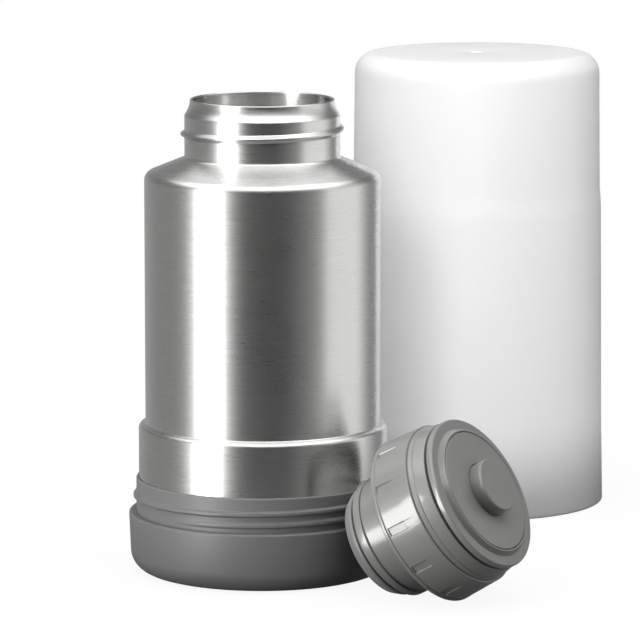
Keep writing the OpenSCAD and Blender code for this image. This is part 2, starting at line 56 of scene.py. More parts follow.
# Steps in a full turn of each kind of piece
PLAIN_STEPS = 256
THREAD_STEPS = 288
NOTCH_STEPS = 720
BUTTON_STEPS = 192
FOAM_STEPS = 128
PLATE_STEPS = 96
BORE_STEPS = 32
PEG_STEPS = 24
FLOOR_STEPS = 128
TENT_STEPS = 96
# Middle of a noise's range
MIDDLE = 0.5
# Sockets of a node that mixes colours
MIX_FACTOR, MIX_LOW, MIX_HIGH, MIX_RESULT = 0, 6, 7, 2
WHITE = (1.0, 1.0, 1.0, 1.0)

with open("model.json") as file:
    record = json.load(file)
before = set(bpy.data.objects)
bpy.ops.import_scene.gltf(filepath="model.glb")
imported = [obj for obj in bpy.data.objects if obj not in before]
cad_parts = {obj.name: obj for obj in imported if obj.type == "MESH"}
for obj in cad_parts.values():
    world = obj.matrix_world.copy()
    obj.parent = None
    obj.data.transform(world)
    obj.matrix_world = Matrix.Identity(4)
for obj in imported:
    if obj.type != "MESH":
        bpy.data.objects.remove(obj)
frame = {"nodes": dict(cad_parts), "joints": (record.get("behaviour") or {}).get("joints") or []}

Number = Union["Wire", float]
Colour = tuple[float, float, float]


class Body(Enum):
    """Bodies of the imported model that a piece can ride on."""

    FLASK = "flask"
    STOPPER = "stopper"
    BUTTON = "button"
    COVER = "cover"


class Reach(Enum):
    """What a lamp lights."""

    COVER = "INCLUDE"
    ALL_BUT_COVER = "EXCLUDE"


class Side(Enum):
    """Side of a turned surface on which its wall gets its thickness."""

    INSIDE = "inside"
    OUTSIDE = "outside"


# Shader maths


class Graph:
    """A node tree that is filled from Python expressions."""

    def __init__(self, tree: bpy.types.NodeTree) -> None:
        """Start from an empty tree."""
        self.tree = tree
        tree.nodes.clear()

    def add(
        self,
        kind: str,
        settings: dict[str, Any] | None = None,
        sockets: dict[str | int, Any] | None = None,
        output: str | int = 0,
    ) -> "Wire":
        """Add one node.

        Args:
            kind: the node's type.
            settings: properties of the node, set first; "stops" fills a colour ramp.
            sockets: values or wires for its inputs, by name or index.
            output: name or index of the output that is wanted.

        Returns:
            The wanted output, ready for more maths.
        """
        node = self.tree.nodes.new(kind)
        for key, value in (settings or {}).items():
            if key == "stops":
                self._fill_ramp(node, value)
            else:
                setattr(node, key, value)
        for key, value in (sockets or {}).items():
            if isinstance(value, Wire):
                self.tree.links.new(value.socket, node.inputs[key])
            else:
                node.inputs[key].default_value = value
        return Wire(self, node.outputs[output] if node.outputs else None)

    @staticmethod
    def _fill_ramp(node: bpy.types.Node, stops: Sequence[tuple[float, float]]) -> None:
        """Set a ramp's stops.

        Args:
            node: the colour ramp.
            stops: pairs of place and grey level.
        """
        elements = node.color_ramp.elements
        while len(elements) < len(stops):
            elements.new(1.0)
        for element, (place, level) in zip(elements, stops):
            element.position = place
            element.color = (level, level, level, 1.0)

    def math(self, operation: str, *values: Number) -> "Wire":
        """Add a Math node on values or wires."""
        return self.add("ShaderNodeMath", {"operation": operation}, dict(enumerate(values)))

    def object_place(self) -> "Wire":
        """Return the place on the piece, in metres."""
        return self.add("ShaderNodeTexCoord", output="Object")

    def split(self, place: "Wire") -> tuple["Wire", ...]:
        """Return a place's X, Y and Z."""
        node = self.add("ShaderNodeSeparateXYZ", sockets={0: place}).socket.node
        return tuple(Wire(self, socket) for socket in node.outputs)

    def noise(self, place: "Wire", scale: float | Vector, detail: float = 2.0) -> "Wire":
        """Return noise from 0 to 1.

        Args:
            place: where on the piece.
            scale: features in a metre, one number or one for each axis.
            detail: octaves of the noise.

        Returns:
            The noise's level.
        """
        scales = scale if isinstance(scale, Vector) else Vector((scale, scale, scale))
        mapped = self.add("ShaderNodeMapping", sockets={"Vector": place, "Scale": scales})
        return self.add("ShaderNodeTexNoise", sockets={"Vector": mapped, "Scale": 1.0, "Detail": detail})

    def shade(self, factor: "Wire", low: Colour, high: Colour) -> "Wire":
        """Blend two colours.

        Args:
            factor: 0 for the first colour, 1 for the second.
            low: the first colour.
            high: the second colour.

        Returns:
            The blended colour.
        """
        sockets = {MIX_FACTOR: factor, MIX_LOW: (*low, 1.0), MIX_HIGH: (*high, 1.0)}
        return self.add("ShaderNodeMix", {"data_type": "RGBA"}, sockets, output=MIX_RESULT)

    def eased(self, value: "Wire", low: float, high: float) -> "Wire":
        """Return a smooth step of a value between two limits."""
        sockets = {"Value": value, "From Min": low, "From Max": high}
        return self.add("ShaderNodeMapRange", {"interpolation_type": "SMOOTHSTEP"}, sockets)

    def bump(self, height: "Wire", strength: float, depth: float) -> "Wire":
        """Return a normal that is raised by a height."""
        sockets = {"Height": height, "Strength": strength, "Distance": depth}
        return self.add("ShaderNodeBump", sockets=sockets)


@dataclass(frozen=True)
class Wire:
    """A socket that takes part in Python arithmetic."""

    graph: Graph
    socket: bpy.types.NodeSocket | None

    def __add__(self, other: Number) -> "Wire":
        """Add."""
        return self.graph.math("ADD", self, other)

    __radd__ = __add__

    def __sub__(self, other: Number) -> "Wire":
        """Subtract."""
        return self.graph.math("SUBTRACT", self, other)

    def __rsub__(self, other: Number) -> "Wire":
        """Subtract this from a number."""
        return self.graph.math("SUBTRACT", other, self)

    def __mul__(self, other: Number) -> "Wire":
        """Multiply."""
        return self.graph.math("MULTIPLY", self, other)

    __rmul__ = __mul__

    def __truediv__(self, other: Number) -> "Wire":
        """Divide."""
        return self.graph.math("DIVIDE", self, other)

    def __rtruediv__(self, other: Number) -> "Wire":
        """Divide a number by this."""
        return self.graph.math("DIVIDE", other, self)

    def __neg__(self) -> "Wire":
        """Negate."""
        return self * -1.0


def new_material(name: str) -> tuple[bpy.types.Material, Graph]:
    """Make an empty material.

    Args:
        name: the material's name.

    Returns:
        The material, and its graph to fill.
    """
    material = bpy.data.materials.new(name)
    material.use_nodes = True
    return material, Graph(material.node_tree)


# Finishes


@dataclass(frozen=True)
class Finish:
    """What every finish has: a name, a material slot, a colour and a roughness."""

    name: str
    slot: str
    colour: Colour
    roughness: float

    made: ClassVar[dict[str, bpy.types.Material]] = {}

    def material(self) -> bpy.types.Material:
        """Make the finish's material, once.

        Returns:
            The material.
        """
        if self.name not in Finish.made:
            made, graph = new_material(self.name)
            shader = graph.add("ShaderNodeBsdfPrincipled", sockets=self.sockets(graph))
            graph.add("ShaderNodeOutputMaterial", sockets={"Surface": shader})
            Finish.made[self.name] = made
        return Finish.made[self.name]

    def sockets(self, graph: Graph) -> dict[str | int, Any]:
        """Return the shader's values and wires."""
        raise NotImplementedError

    def tinted(self, share: float) -> Colour:
        """Return the colour, lighter or darker by a share."""
        red, green, blue = self.colour
        return (red * share, green * share, blue * share)


@dataclass(frozen=True)
class BrushedSteel(Finish):
    """Steel brushed round the axis: fine level streaks, and gloss that spreads up and down."""

    streaks_along: float = 120.0
    streaks_across: float = 2200.0
    streak_detail: float = 3.0
    streak_low: float = 0.3
    streak_high: float = 0.7
    streak_depth: float = 0.00003
    streak_bump: float = 0.04
    grain_finer: float = 4.0
    grain_share: float = 0.4
    handling_size: float = 28.0
    gloss_change: float = 0.04
    dark: float = 0.95
    bright: float = 1.08
    spread: float = 0.75
    brush_turn: float = 0.25

    def sockets(self, graph: Graph) -> dict[str | int, Any]:
        """Wire up the finish.

        Args:
            graph: the material's graph.

        Returns:
            The shader's values and wires, by socket.
        """
        place = graph.object_place()
        fine = Vector((self.streaks_along, self.streaks_along, self.streaks_across))
        streaks = graph.noise(place, fine, detail=self.streak_detail)
        grain = graph.noise(place, fine * self.grain_finer)
        handling = graph.noise(place, self.handling_size)
        mixed = streaks * (1.0 - self.grain_share) + grain * self.grain_share
        brushed = graph.eased(mixed, self.streak_low, self.streak_high)
        worn = self.roughness + (brushed - MIDDLE) * self.gloss_change
        return {
            "Base Color": graph.shade(brushed, self.tinted(self.dark), self.tinted(self.bright)),
            "Metallic": 1.0,
            "Roughness": worn + (handling - MIDDLE) * self.gloss_change,
            "Anisotropic": self.spread,
            "Anisotropic Rotation": self.brush_turn,
            "Normal": graph.bump(brushed, self.streak_bump, self.streak_depth),
        }


@dataclass(frozen=True)
class PlainMetal(Finish):
    """Small metal pieces: drawn wire, braze, foil and sintered metal."""

    grain_size: float = 900.0
    grain_detail: float = 4.0
    grain_bump: float = 0.1
    grain_depth: float = 0.00005
    gloss_change: float = 0.18
    tarnish_share: float = 0.06
    dark: float = 0.82
    bright: float = 1.08
    metallic: float = 1.0

    def sockets(self, graph: Graph) -> dict[str | int, Any]:
        """Wire up the finish.

        Args:
            graph: the material's graph.

        Returns:
            The shader's values and wires, by socket.
        """
        place = graph.object_place()
        grain = graph.noise(place, self.grain_size, detail=self.grain_detail)
        tarnish = graph.noise(place, self.grain_size * self.tarnish_share)
        return {
            "Base Color": graph.shade(tarnish, self.tinted(self.dark), self.tinted(self.bright)),
            "Metallic": self.metallic,
            "Roughness": self.roughness + (grain - MIDDLE) * self.gloss_change,
            "Normal": graph.bump(grain, self.grain_bump, self.grain_depth),
        }


@dataclass(frozen=True)
class MouldedPlastic(Finish):
    """Injection-moulded plastic with a faint flow mottle and the grain of its mould."""

    mottle: float = 0.06
    flow_along: float = 38.0
    flow_across: float = 90.0
    flow_detail: float = 3.0
    grain_size: float = 3200.0
    grain_bump: float = 0.05
    grain_depth: float = 0.00004
    handling: float = 0.08
    handling_size: float = 120.0
    handling_detail: float = 4.0
    coat: float = 0.0
    coat_roughness: float = 0.12

    def sockets(self, graph: Graph) -> dict[str | int, Any]:
        """Wire up the finish.

        Args:
            graph: the material's graph.

        Returns:
            The shader's values and wires, by socket.
        """
        place = graph.object_place()
        flows = Vector((self.flow_along, self.flow_along, self.flow_across))
        flow = graph.noise(place, flows, detail=self.flow_detail)
        grain = graph.noise(place, self.grain_size)
        rubbed = graph.noise(place, self.handling_size, detail=self.handling_detail)
        dark, bright = self.tinted(1.0 - self.mottle), self.tinted(1.0 + self.mottle)
        return {
            "Base Color": graph.shade(flow, dark, bright),
            "Roughness": self.roughness + (rubbed - MIDDLE) * self.handling,
            "Coat Weight": self.coat,
            "Coat Roughness": self.coat_roughness,
            "Normal": graph.bump(grain, self.grain_bump, self.grain_depth),
        }


@dataclass(frozen=True)
class FrostedPlastic(Finish):
    """Milky moulded plastic: light goes into its wall and comes out softened."""

    depth: Colour = (0.012, 0.012, 0.011)
    scatter: float = 0.35
    clear: float = 0.4
    # Painted shade near the rim: height up to which it reaches, in metres, and the colour's share at the
    # rim
    shade_zone: float = 0.042
    rim_shade_share: float = 0.5
    flow_across: float = 14.0
    flow_along: float = 5.0
    flow_change: float = 0.025
    frost_size: float = 2600.0
    frost_detail: float = 3.0
    frost_bump: float = 0.05
    frost_depth: float = 0.00004
    gloss_change: float = 0.12

    def sockets(self, graph: Graph) -> dict[str | int, Any]:
        """Wire up the finish.

        Args:
            graph: the material's graph.

        Returns:
            The shader's values and wires, by socket.
        """
        place = graph.object_place()
        flow = graph.noise(place, Vector((self.flow_across, self.flow_across, self.flow_along)))
        frost = graph.noise(place, self.frost_size, detail=self.frost_detail)
        height = graph.split(place)[2]
        # Painted shade: the colour darkens towards the rim, standing in for the floor's shade and for less
        # light coming through the wall, which is thicker at the thread
        painted_shade_lift = graph.eased(height, 0.0, self.shade_zone) * (1.0 - self.rim_shade_share)
        tone = painted_shade_lift + (flow - MIDDLE) * self.flow_change
        return {
            "Base Color": graph.shade(tone + self.rim_shade_share, self.tinted(0.0), self.colour),
            "Roughness": self.roughness + (frost - MIDDLE) * self.gloss_change,
            "Transmission Weight": self.clear,
            "Subsurface Weight": self.scatter,
            "Subsurface Radius": self.depth,
            "Subsurface Scale": 1.0,
            "Normal": graph.bump(frost, self.frost_bump, self.frost_depth),
        }


@dataclass(frozen=True)
class SoftRubber(Finish):
    """Silicone: a fine skin with a soft sheen and a faint bloom."""

    bloom_size: float = 160.0
    bloom_detail: float = 4.0
    skin_size: float = 4200.0
    skin_bump: float = 0.08
    skin_depth: float = 0.00004
    gloss_change: float = 0.15
    dark: float = 0.93
    bright: float = 1.07
    sheen: float = 0.15

    def sockets(self, graph: Graph) -> dict[str | int, Any]:
        """Wire up the finish.

        Args:
            graph: the material's graph.

        Returns:
            The shader's values and wires, by socket.
        """
        place = graph.object_place()
        bloom = graph.noise(place, self.bloom_size, detail=self.bloom_detail)
        skin = graph.noise(place, self.skin_size)
        return {
            "Base Color": graph.shade(bloom, self.tinted(self.dark), self.tinted(self.bright)),
            "Roughness": self.roughness + (bloom - MIDDLE) * self.gloss_change,
            "Sheen Weight": self.sheen,
            "Normal": graph.bump(skin, self.skin_bump, self.skin_depth),
        }


@dataclass(frozen=True)
class ClosedFoam(Finish):
    """Closed-cell foam: small cells that show as pits in a pale net, with painted shade darkening the pits.
    """

    cell_size: float = 1100.0
    wall_low: float = 0.15
    wall_high: float = 0.75
    cell_bump: float = 0.35
    cell_depth: float = 0.0002
    gloss_change: float = 0.06
    dark: float = 0.86
    bright: float = 1.03

    def sockets(self, graph: Graph) -> dict[str | int, Any]:
        """Wire up the finish.

        Args:
            graph: the material's graph.

        Returns:
            The shader's values and wires, by socket.
        """
        place = graph.object_place()
        mapped = graph.add("ShaderNodeMapping", sockets={"Vector": place, "Scale": (self.cell_size,) * 3})
        cells = graph.add("ShaderNodeTexVoronoi", sockets={"Vector": mapped, "Scale": 1.0})
        # Painted shade: the colour is darker in the pits, where the bump sinks the cells
        walls = graph.eased(cells, self.wall_low, self.wall_high)
        return {
            "Base Color": graph.shade(walls, self.tinted(self.dark), self.tinted(self.bright)),
            "Roughness": self.roughness + walls * self.gloss_change,
            "Normal": graph.bump(walls, self.cell_bump, self.cell_depth),
        }


STEEL = BrushedSteel("brushed_steel", "brushed_steel_shell", (0.66, 0.66, 0.65), 0.29)
LINER_STEEL = BrushedSteel("polished_liner", "steel_inside", (0.64, 0.64, 0.63), 0.24, streak_bump=0.06)
DISC_STEEL = BrushedSteel("pressed_disc", "steel_inside", (0.62, 0.62, 0.61), 0.36)
BRAZE = PlainMetal("braze", "seal_metal", (0.45, 0.45, 0.45), 0.42)
SINTER = PlainMetal("sintered_metal", "getter_metal", (0.35, 0.36, 0.38), 0.7, grain_bump=0.3, metallic=0.7)
FOIL = PlainMetal("copper_foil", "copper_foil", (0.72, 0.45, 0.32), 0.22, grain_size=160.0, grain_bump=0.25)
WIRE = PlainMetal("drawn_wire", "spring_wire", (0.6, 0.6, 0.6), 0.26)
STOPPER_PLASTIC = MouldedPlastic("stopper_plastic", "grey_plastic", (0.2, 0.201, 0.193), 0.42, coat=0.8)
COLLAR_PLASTIC = MouldedPlastic("collar_plastic", "collar_plastic", (0.145, 0.145, 0.143), 0.46)
BOOT_PLASTIC = MouldedPlastic(
    "boot_plastic", "boot_plastic", (0.135, 0.135, 0.133), 0.46, grain_size=2300.0, grain_bump=0.12
)
SILICONE = SoftRubber("silicone", "silicone", (0.2, 0.2, 0.195), 0.42)
FOAM = ClosedFoam("white_foam", "white_foam", (0.85, 0.85, 0.83), 0.85)
FROST = FrostedPlastic("frosted_cover", "frosted_cover", (0.92, 0.92, 0.92), 0.55)


# Turned shapes


class Corner(NamedTuple):
    """One corner of a turned outline: radius, height and rounding."""

    r: float
    z: float
    soft: float = 0.0


class Rows(NamedTuple):
    """A stretch of a wall that gets finer rows, from one height to another."""

    low: float
    high: float
    pitch: float


def polar(point: Vector) -> tuple[float, float]:
    """Return a point's distance from the Z axis, and its angle in degrees."""
    return math.hypot(point.x, point.y), math.degrees(math.atan2(point.y, point.x))


def move_out(point: Vector, share: float) -> None:
    """Multiply a point's distance from the Z axis."""
    point.x *= share
    point.y *= share


def ring_points(count: int, radius: float, turned: float = 0.0) -> list[tuple[float, float]]:
    """Return points spaced evenly on a circle, turned by a share of their spacing."""
    angles = [FULL_TURN * (number + turned) / count for number in range(count)]
    return [(radius * math.cos(angle), radius * math.sin(angle)) for angle in angles]


@dataclass(frozen=True)
class Ridge:
    """A helical ridge on a turned wall, whose ends fade into the wall.

    A ridge with a negative height stands in from its wall.
    """

    root: float
    height: float
    foot: float
    low: float
    lead: float
    start: float
    turns: float
    crest_share: float = 0.35
    fade: float = 60.0

    def rise(self, angle: float, z: float) -> float:
        """Work out how far the ridge stands out.

        Args:
            angle: where round the wall, in degrees.
            z: the height on the wall.

        Returns:
            The rise from the wall.
        """
        first = ((angle - self.start) % 360.0) / 360.0
        best = 0.0
        for lap in range(math.ceil(self.turns) + 1):
            turn = first + lap
            if turn > self.turns:
                break
            ends = min(1.0, min(turn, self.turns - turn) * 360.0 / self.fade)
            away = abs(z - self.low - self.lead * turn) / (self.foot / 2.0)
            flank = min(1.0, max(0.0, (1.0 - away) / (1.0 - self.crest_share)))
            best = max(best, ends * flank * flank * (3.0 - 2.0 * flank))
        return best * self.height

    def rows(self, pitch: float = 0.22) -> Rows:
        """Return the stretch of wall that the ridge takes up."""
        half = self.foot / 2.0
        return Rows(self.low - half, self.low + half + self.lead * self.turns, pitch)

    def raise_on(self, mesh: bmesh.types.BMesh) -> None:
        """Push the points of a turned wall out along the ridge.

        Args:
            mesh: the piece that has the wall.
        """
        for vert in mesh.verts:
            radius, angle = polar(vert.co)
            if abs(radius - self.root) < ON_WALL:
                move_out(vert.co, (radius + self.rise(angle, vert.co.z)) / radius)


def round_corner(mesh: bmesh.types.BMesh, point: bmesh.types.BMVert, soft: float) -> None:
    """Round one corner of a wire outline.

    Args:
        mesh: the outline.
        point: its corner.
        soft: radius of the rounding.
    """
    ways = [(edge.other_vert(point).co - point.co).normalized() for edge in point.link_edges]
    half = ways[0].angle(ways[1]) / 2.0
    bmesh.ops.bevel(
        mesh, geom=[point], affect="VERTICES", offset=soft / math.tan(half),
        segments=ARC_STEPS, profile=0.5, material=-1,
    )


def spun(
    corners: Sequence[Corner],
    closed: bool = True,
    steps: int = PLAIN_STEPS,
    finer: Iterable[Rows] = (),
) -> bmesh.types.BMesh:
    """Spin an outline round the Z axis.

    Args:
        corners: the outline's corners in order.
        closed: whether the last corner joins the first; not where both lie on the axis.
        steps: steps in the full turn, a multiple of the sectors.
        finer: stretches of wall that get finer rows.

    Returns:
        The turned surface with its normals outwards.
    """
    mesh = bmesh.new()
    points = [mesh.verts.new((corner.r, 0.0, corner.z)) for corner in corners]
    ends = points[1:] + (points[:1] if closed else [])
    for first, second in zip(points, ends):
        mesh.edges.new((first, second))
    for point, corner in zip(points, corners):
        if corner.soft > 0.0:
            round_corner(mesh, point, corner.soft)
    for rows in finer:
        split_rows(mesh, rows)
    bmesh.ops.spin(
        mesh, geom=mesh.verts[:] + mesh.edges[:], cent=ORIGIN, axis=AXIS_UP, dvec=ORIGIN,
        angle=FULL_TURN / SECTORS, steps=steps // SECTORS, use_duplicate=False,
    )
    bmesh.ops.spin(
        mesh, geom=mesh.verts[:] + mesh.edges[:] + mesh.faces[:],
        cent=ORIGIN, axis=AXIS_UP, dvec=ORIGIN,
        angle=FULL_TURN * (SECTORS - 1) / SECTORS, steps=SECTORS - 1, use_duplicate=True,
    )
    bmesh.ops.remove_doubles(mesh, verts=mesh.verts[:], dist=MERGE)
    bmesh.ops.recalc_face_normals(mesh, faces=mesh.faces[:])
    return mesh


def split_rows(mesh: bmesh.types.BMesh, rows: Rows) -> None:
    """Split the edges of a wire outline that cross a stretch of wall.

    Args:
        mesh: the outline.
        rows: the stretch, and the height of its rows.
    """
    for edge in mesh.edges[:]:
        low, high = sorted(vert.co.z for vert in edge.verts)
        if low < rows.high and high > rows.low and high - low > rows.pitch:
            cuts = math.ceil((high - low) / rows.pitch) - 1
            bmesh.ops.subdivide_edges(mesh, edges=[edge], cuts=cuts)


def thickened(mesh: bmesh.types.BMesh, wall: float, side: Side) -> bmesh.types.BMesh:
    """Give a turned surface its wall.

    Args:
        mesh: an open turned surface with its normals outwards.
        wall: the wall's thickness.
        side: where the wall goes, inside or outside of the surface.

    Returns:
        The same mesh, closed.
    """
    if side is Side.OUTSIDE:
        bmesh.ops.reverse_faces(mesh, faces=mesh.faces[:])
    bmesh.ops.solidify(mesh, geom=mesh.faces[:], thickness=wall)
    return mesh


def foam_ring(bore: float, outer: float, low: float, high: float, soft: float) -> bmesh.types.BMesh:
    """Make a ring with the soft edges of cut foam.

    Args:
        bore: radius of the hole in its middle.
        outer: the ring's radius.
        low: height of its lower face.
        high: height of its upper face.
        soft: rounding of its edges.

    Returns:
        The ring as a closed mesh.
    """
    ends = ((bore, low), (outer, low), (outer, high), (bore, high))
    return spun([Corner(r, z, soft) for r, z in ends], steps=FOAM_STEPS)


def drilled_plate(
    outer: float,
    bore: float,
    ports: Sequence[tuple[float, float]],
    port_r: float,
    low: float,
    thick: float,
) -> bmesh.types.BMesh:
    """Make a round plate with a bore and ports.

    Args:
        outer: the plate's radius.
        bore: radius of the hole in its middle.
        ports: centres of the ports.
        port_r: radius of a port.
        low: height of its lower face.
        thick: its thickness.

    Returns:
        The plate as a closed mesh.
    """
    mesh = bmesh.new()
    middle = (0.0, 0.0)
    rings = [(outer, middle, PLATE_STEPS), (bore, middle, BORE_STEPS)]
    rings += [(port_r, centre, PEG_STEPS) for centre in ports]
    for radius, (x, y), steps in rings:
        place = Matrix.Translation((x, y, low))
        bmesh.ops.create_circle(mesh, cap_ends=False, segments=steps, radius=radius, matrix=place)
    bmesh.ops.triangle_fill(mesh, use_beauty=True, use_dissolve=False, edges=mesh.edges[:])
    lifted = bmesh.ops.extrude_face_region(mesh, geom=mesh.faces[:], use_keep_orig=True)["geom"]
    tops = [item for item in lifted if isinstance(item, bmesh.types.BMVert)]
    bmesh.ops.translate(mesh, verts=tops, vec=(0.0, 0.0, thick))
    bmesh.ops.recalc_face_normals(mesh, faces=mesh.faces[:])
    return mesh


def joined(meshes: Sequence[bmesh.types.BMesh]) -> bmesh.types.BMesh:
    """Put several meshes into one.

    Args:
        meshes: the meshes, which are used up.

    Returns:
        The one mesh.
    """
    whole = bmesh.new()
    for mesh in meshes:
        data = bpy.data.meshes.new("joining")
        mesh.to_mesh(data)
        mesh.free()
        whole.from_mesh(data)
        bpy.data.meshes.remove(data)
    return whole


def smooth_object(
    name: str, mesh: bmesh.types.BMesh, material: bpy.types.Material
) -> bpy.types.Object:
    """Make a smooth object of a mesh.

    Args:
        name: the object's name.
        mesh: its shape, which is used up.
        material: its only material.

    Returns:
        The object, linked to the scene.
    """
    data = bpy.data.meshes.new(name)
    mesh.to_mesh(data)
    mesh.free()
    data.shade_smooth()
    data.materials.append(material)
    made = bpy.data.objects.new(name, data)
    bpy.context.scene.collection.objects.link(made)
    return made


def finished(
    name: str,
    mesh: bmesh.types.BMesh,
    finish: Finish,
    body: Body,
    node: str,
    place: Matrix | None = None,
) -> bpy.types.Object:
    """Make a piece of a mesh in millimetres, and seat it in the frame.

    Args:
        name: the piece's name.
        mesh: its shape about its own axis.
        finish: what it is dressed in.
        body: the body that it rides on.
        node: the CAD node that it stands for.
        place: where its axis lies, in metres; the frame's own origin if left out.

    Returns:
        The piece.
    """
    seat = (place or Matrix.Identity(4)) @ Matrix.Scale(MM, 4)
    bmesh.ops.transform(mesh, matrix=seat, verts=mesh.verts[:])
    piece = smooth_object(name, mesh, finish.material())
    piece.data.set_sharp_from_angle(angle=SHARP_ANGLE)
    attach(piece, body.value)
    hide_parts(node)
    LOG.info("%s stands for %s, %d faces", name, node, len(piece.data.polygons))
    return piece


def dressed(node: str, finish: Finish) -> None:
    """Dress a CAD node that keeps its own shape.

    Args:
        node: the CAD node.
        finish: what it is dressed in.
    """
    slots = frame["nodes"][node].data.materials
    slots.clear()
    slots.append(finish.material())
    LOG.info("%s keeps its shape, in %s", node, finish.name)


def width_of(node: str) -> float:
    """Return a node's width along X, in millimetres."""
    low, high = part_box(node)
    return (high.x - low.x) / MM


def top_of(node: str) -> float:
    """Return the height of a node's top, in millimetres."""
    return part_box(node)[1].z / MM


# The flask


@dataclass
class Flask:
    """Double-walled steel flask: shell, liner and what lies between them."""

    height: float = field(default_factory=lambda: top_of("outer_shell"))
    skirt_r: float = field(default_factory=lambda: width_of("outer_shell") / 2.0)
    body_r: float = 47.1
    neck_r: float = 31.0
    bottom: float = 7.6
    skirt_top: float = 59.4
    skirt_rise: float = 0.6
    skirt_round: float = 2.0
    skirt_corner: float = 0.4
    neck_h: float = 23.2
    neck_foot: float = 1.6
    shoulder_drop: float = 6.6
    shoulder_round: float = 3.5
    lip_in: float = 2.2
    lip_h: float = 2.8
    lip_cone: float = 3.6
    lip_foot: float = 1.1
    lip_hollow: float = 8.0
    lip_round: float = 0.45
    wall: float = 0.5
    seam: float = 0.05
    hem: float = 0.9
    bead_h: float = 1.6
    bead_w: float = 3.4
    bead_lead: float = 4.1
    bead_rise: float = 8.4
    bead_start: float = 100.0
    bead_turns: float = 1.0
    bead_crest: float = 0.12
    liner_r: float = 43.9
    liner_floor: float = 12.7
    liner_round: float = 8.0
    liner_top: float = 133.4
    ledge_r: float = 20.4
    ledge_low: float = 141.4
    ledge_z: float = 145.4
    ledge_fall: float = 1.0
    ledge_foot: float = 1.0
    ledge_round: float = 0.6
    throat_r: float = 25.4
    throat_drop: float = 7.0
    throat_round: float = 1.0
    mouth_drop: float = 7.5

    @property
    def shoulder(self) -> float:
        """Height at which the neck starts."""
        return self.height - self.neck_h

    @property
    def neck_top(self) -> float:
        """Height at which the neck ends under the lip."""
        return self.height - self.lip_h - self.lip_cone

    @property
    def lip_r(self) -> float:
        """Radius of the lip."""
        return self.neck_r - self.lip_in

    @property
    def mouth_r(self) -> float:
        """Radius of the mouth, inside both walls."""
        return self.lip_r - 2.0 * self.wall - self.seam

    def shell_mesh(self) -> bmesh.types.BMesh:
        """Press the shell, with its rolled bead and its hemmed lip.

        Returns:
            The shell as a closed mesh.
        """
        bead = Ridge(
            root=self.neck_r, height=self.bead_h, foot=self.bead_w, low=self.shoulder + self.bead_rise,
            lead=self.bead_lead, start=self.bead_start, turns=self.bead_turns, crest_share=self.bead_crest,
        )
        corners = [
            Corner(self.skirt_r, self.bottom),
            Corner(self.skirt_r, self.skirt_top, self.skirt_round),
            Corner(self.body_r, self.skirt_top + self.skirt_rise, self.skirt_corner),
            Corner(self.body_r, self.shoulder - self.shoulder_drop, self.shoulder_round),
            Corner(self.neck_r, self.shoulder, self.neck_foot),
            Corner(self.neck_r, self.neck_top, self.lip_foot),
            Corner(self.lip_r, self.height - self.lip_h, self.lip_hollow),
            Corner(self.lip_r, self.height, self.lip_round),
            Corner(self.mouth_r, self.height, self.lip_round),
            Corner(self.mouth_r, self.height - self.hem),
        ]
        mesh = spun(corners, closed=False, steps=THREAD_STEPS, finer=[bead.rows()])
        bead.raise_on(mesh)
        return thickened(mesh, self.wall, Side.INSIDE)

    def liner_mesh(self) -> bmesh.types.BMesh:
        """Draw the liner, from its floor to the hem of the shell's lip.

        Returns:
            The liner as a closed mesh.
        """
        corners = [
            Corner(0.0, self.liner_floor),
            Corner(self.liner_r, self.liner_floor, self.liner_round),
            Corner(self.liner_r, self.liner_top, self.liner_round),
            Corner(self.ledge_r, self.ledge_low, self.ledge_foot),
            Corner(self.ledge_r, self.ledge_z - self.ledge_fall, self.ledge_round),
            Corner(self.throat_r, self.ledge_z, self.ledge_round),
            Corner(self.throat_r, self.neck_top - self.throat_drop, self.throat_round),
            Corner(self.mouth_r, self.height - self.lip_h - self.mouth_drop, self.throat_round),
            Corner(self.mouth_r, self.height - self.hem - self.seam),
        ]
        mesh = spun(corners, closed=False)
        return thickened(mesh, self.wall, Side.OUTSIDE)

    def build(self) -> None:
        """Build and dress the flask."""
        finished("steel_shell", self.shell_mesh(), STEEL, Body.FLASK, "outer_shell")
        finished("steel_liner", self.liner_mesh(), LINER_STEEL, Body.FLASK, "inner_liner")
        plain = {"base_disc": DISC_STEEL, "vacuum_seal": BRAZE, "getter": SINTER, "heat_foil": FOIL}
        for node, finish in plain.items():
            dressed(node, finish)


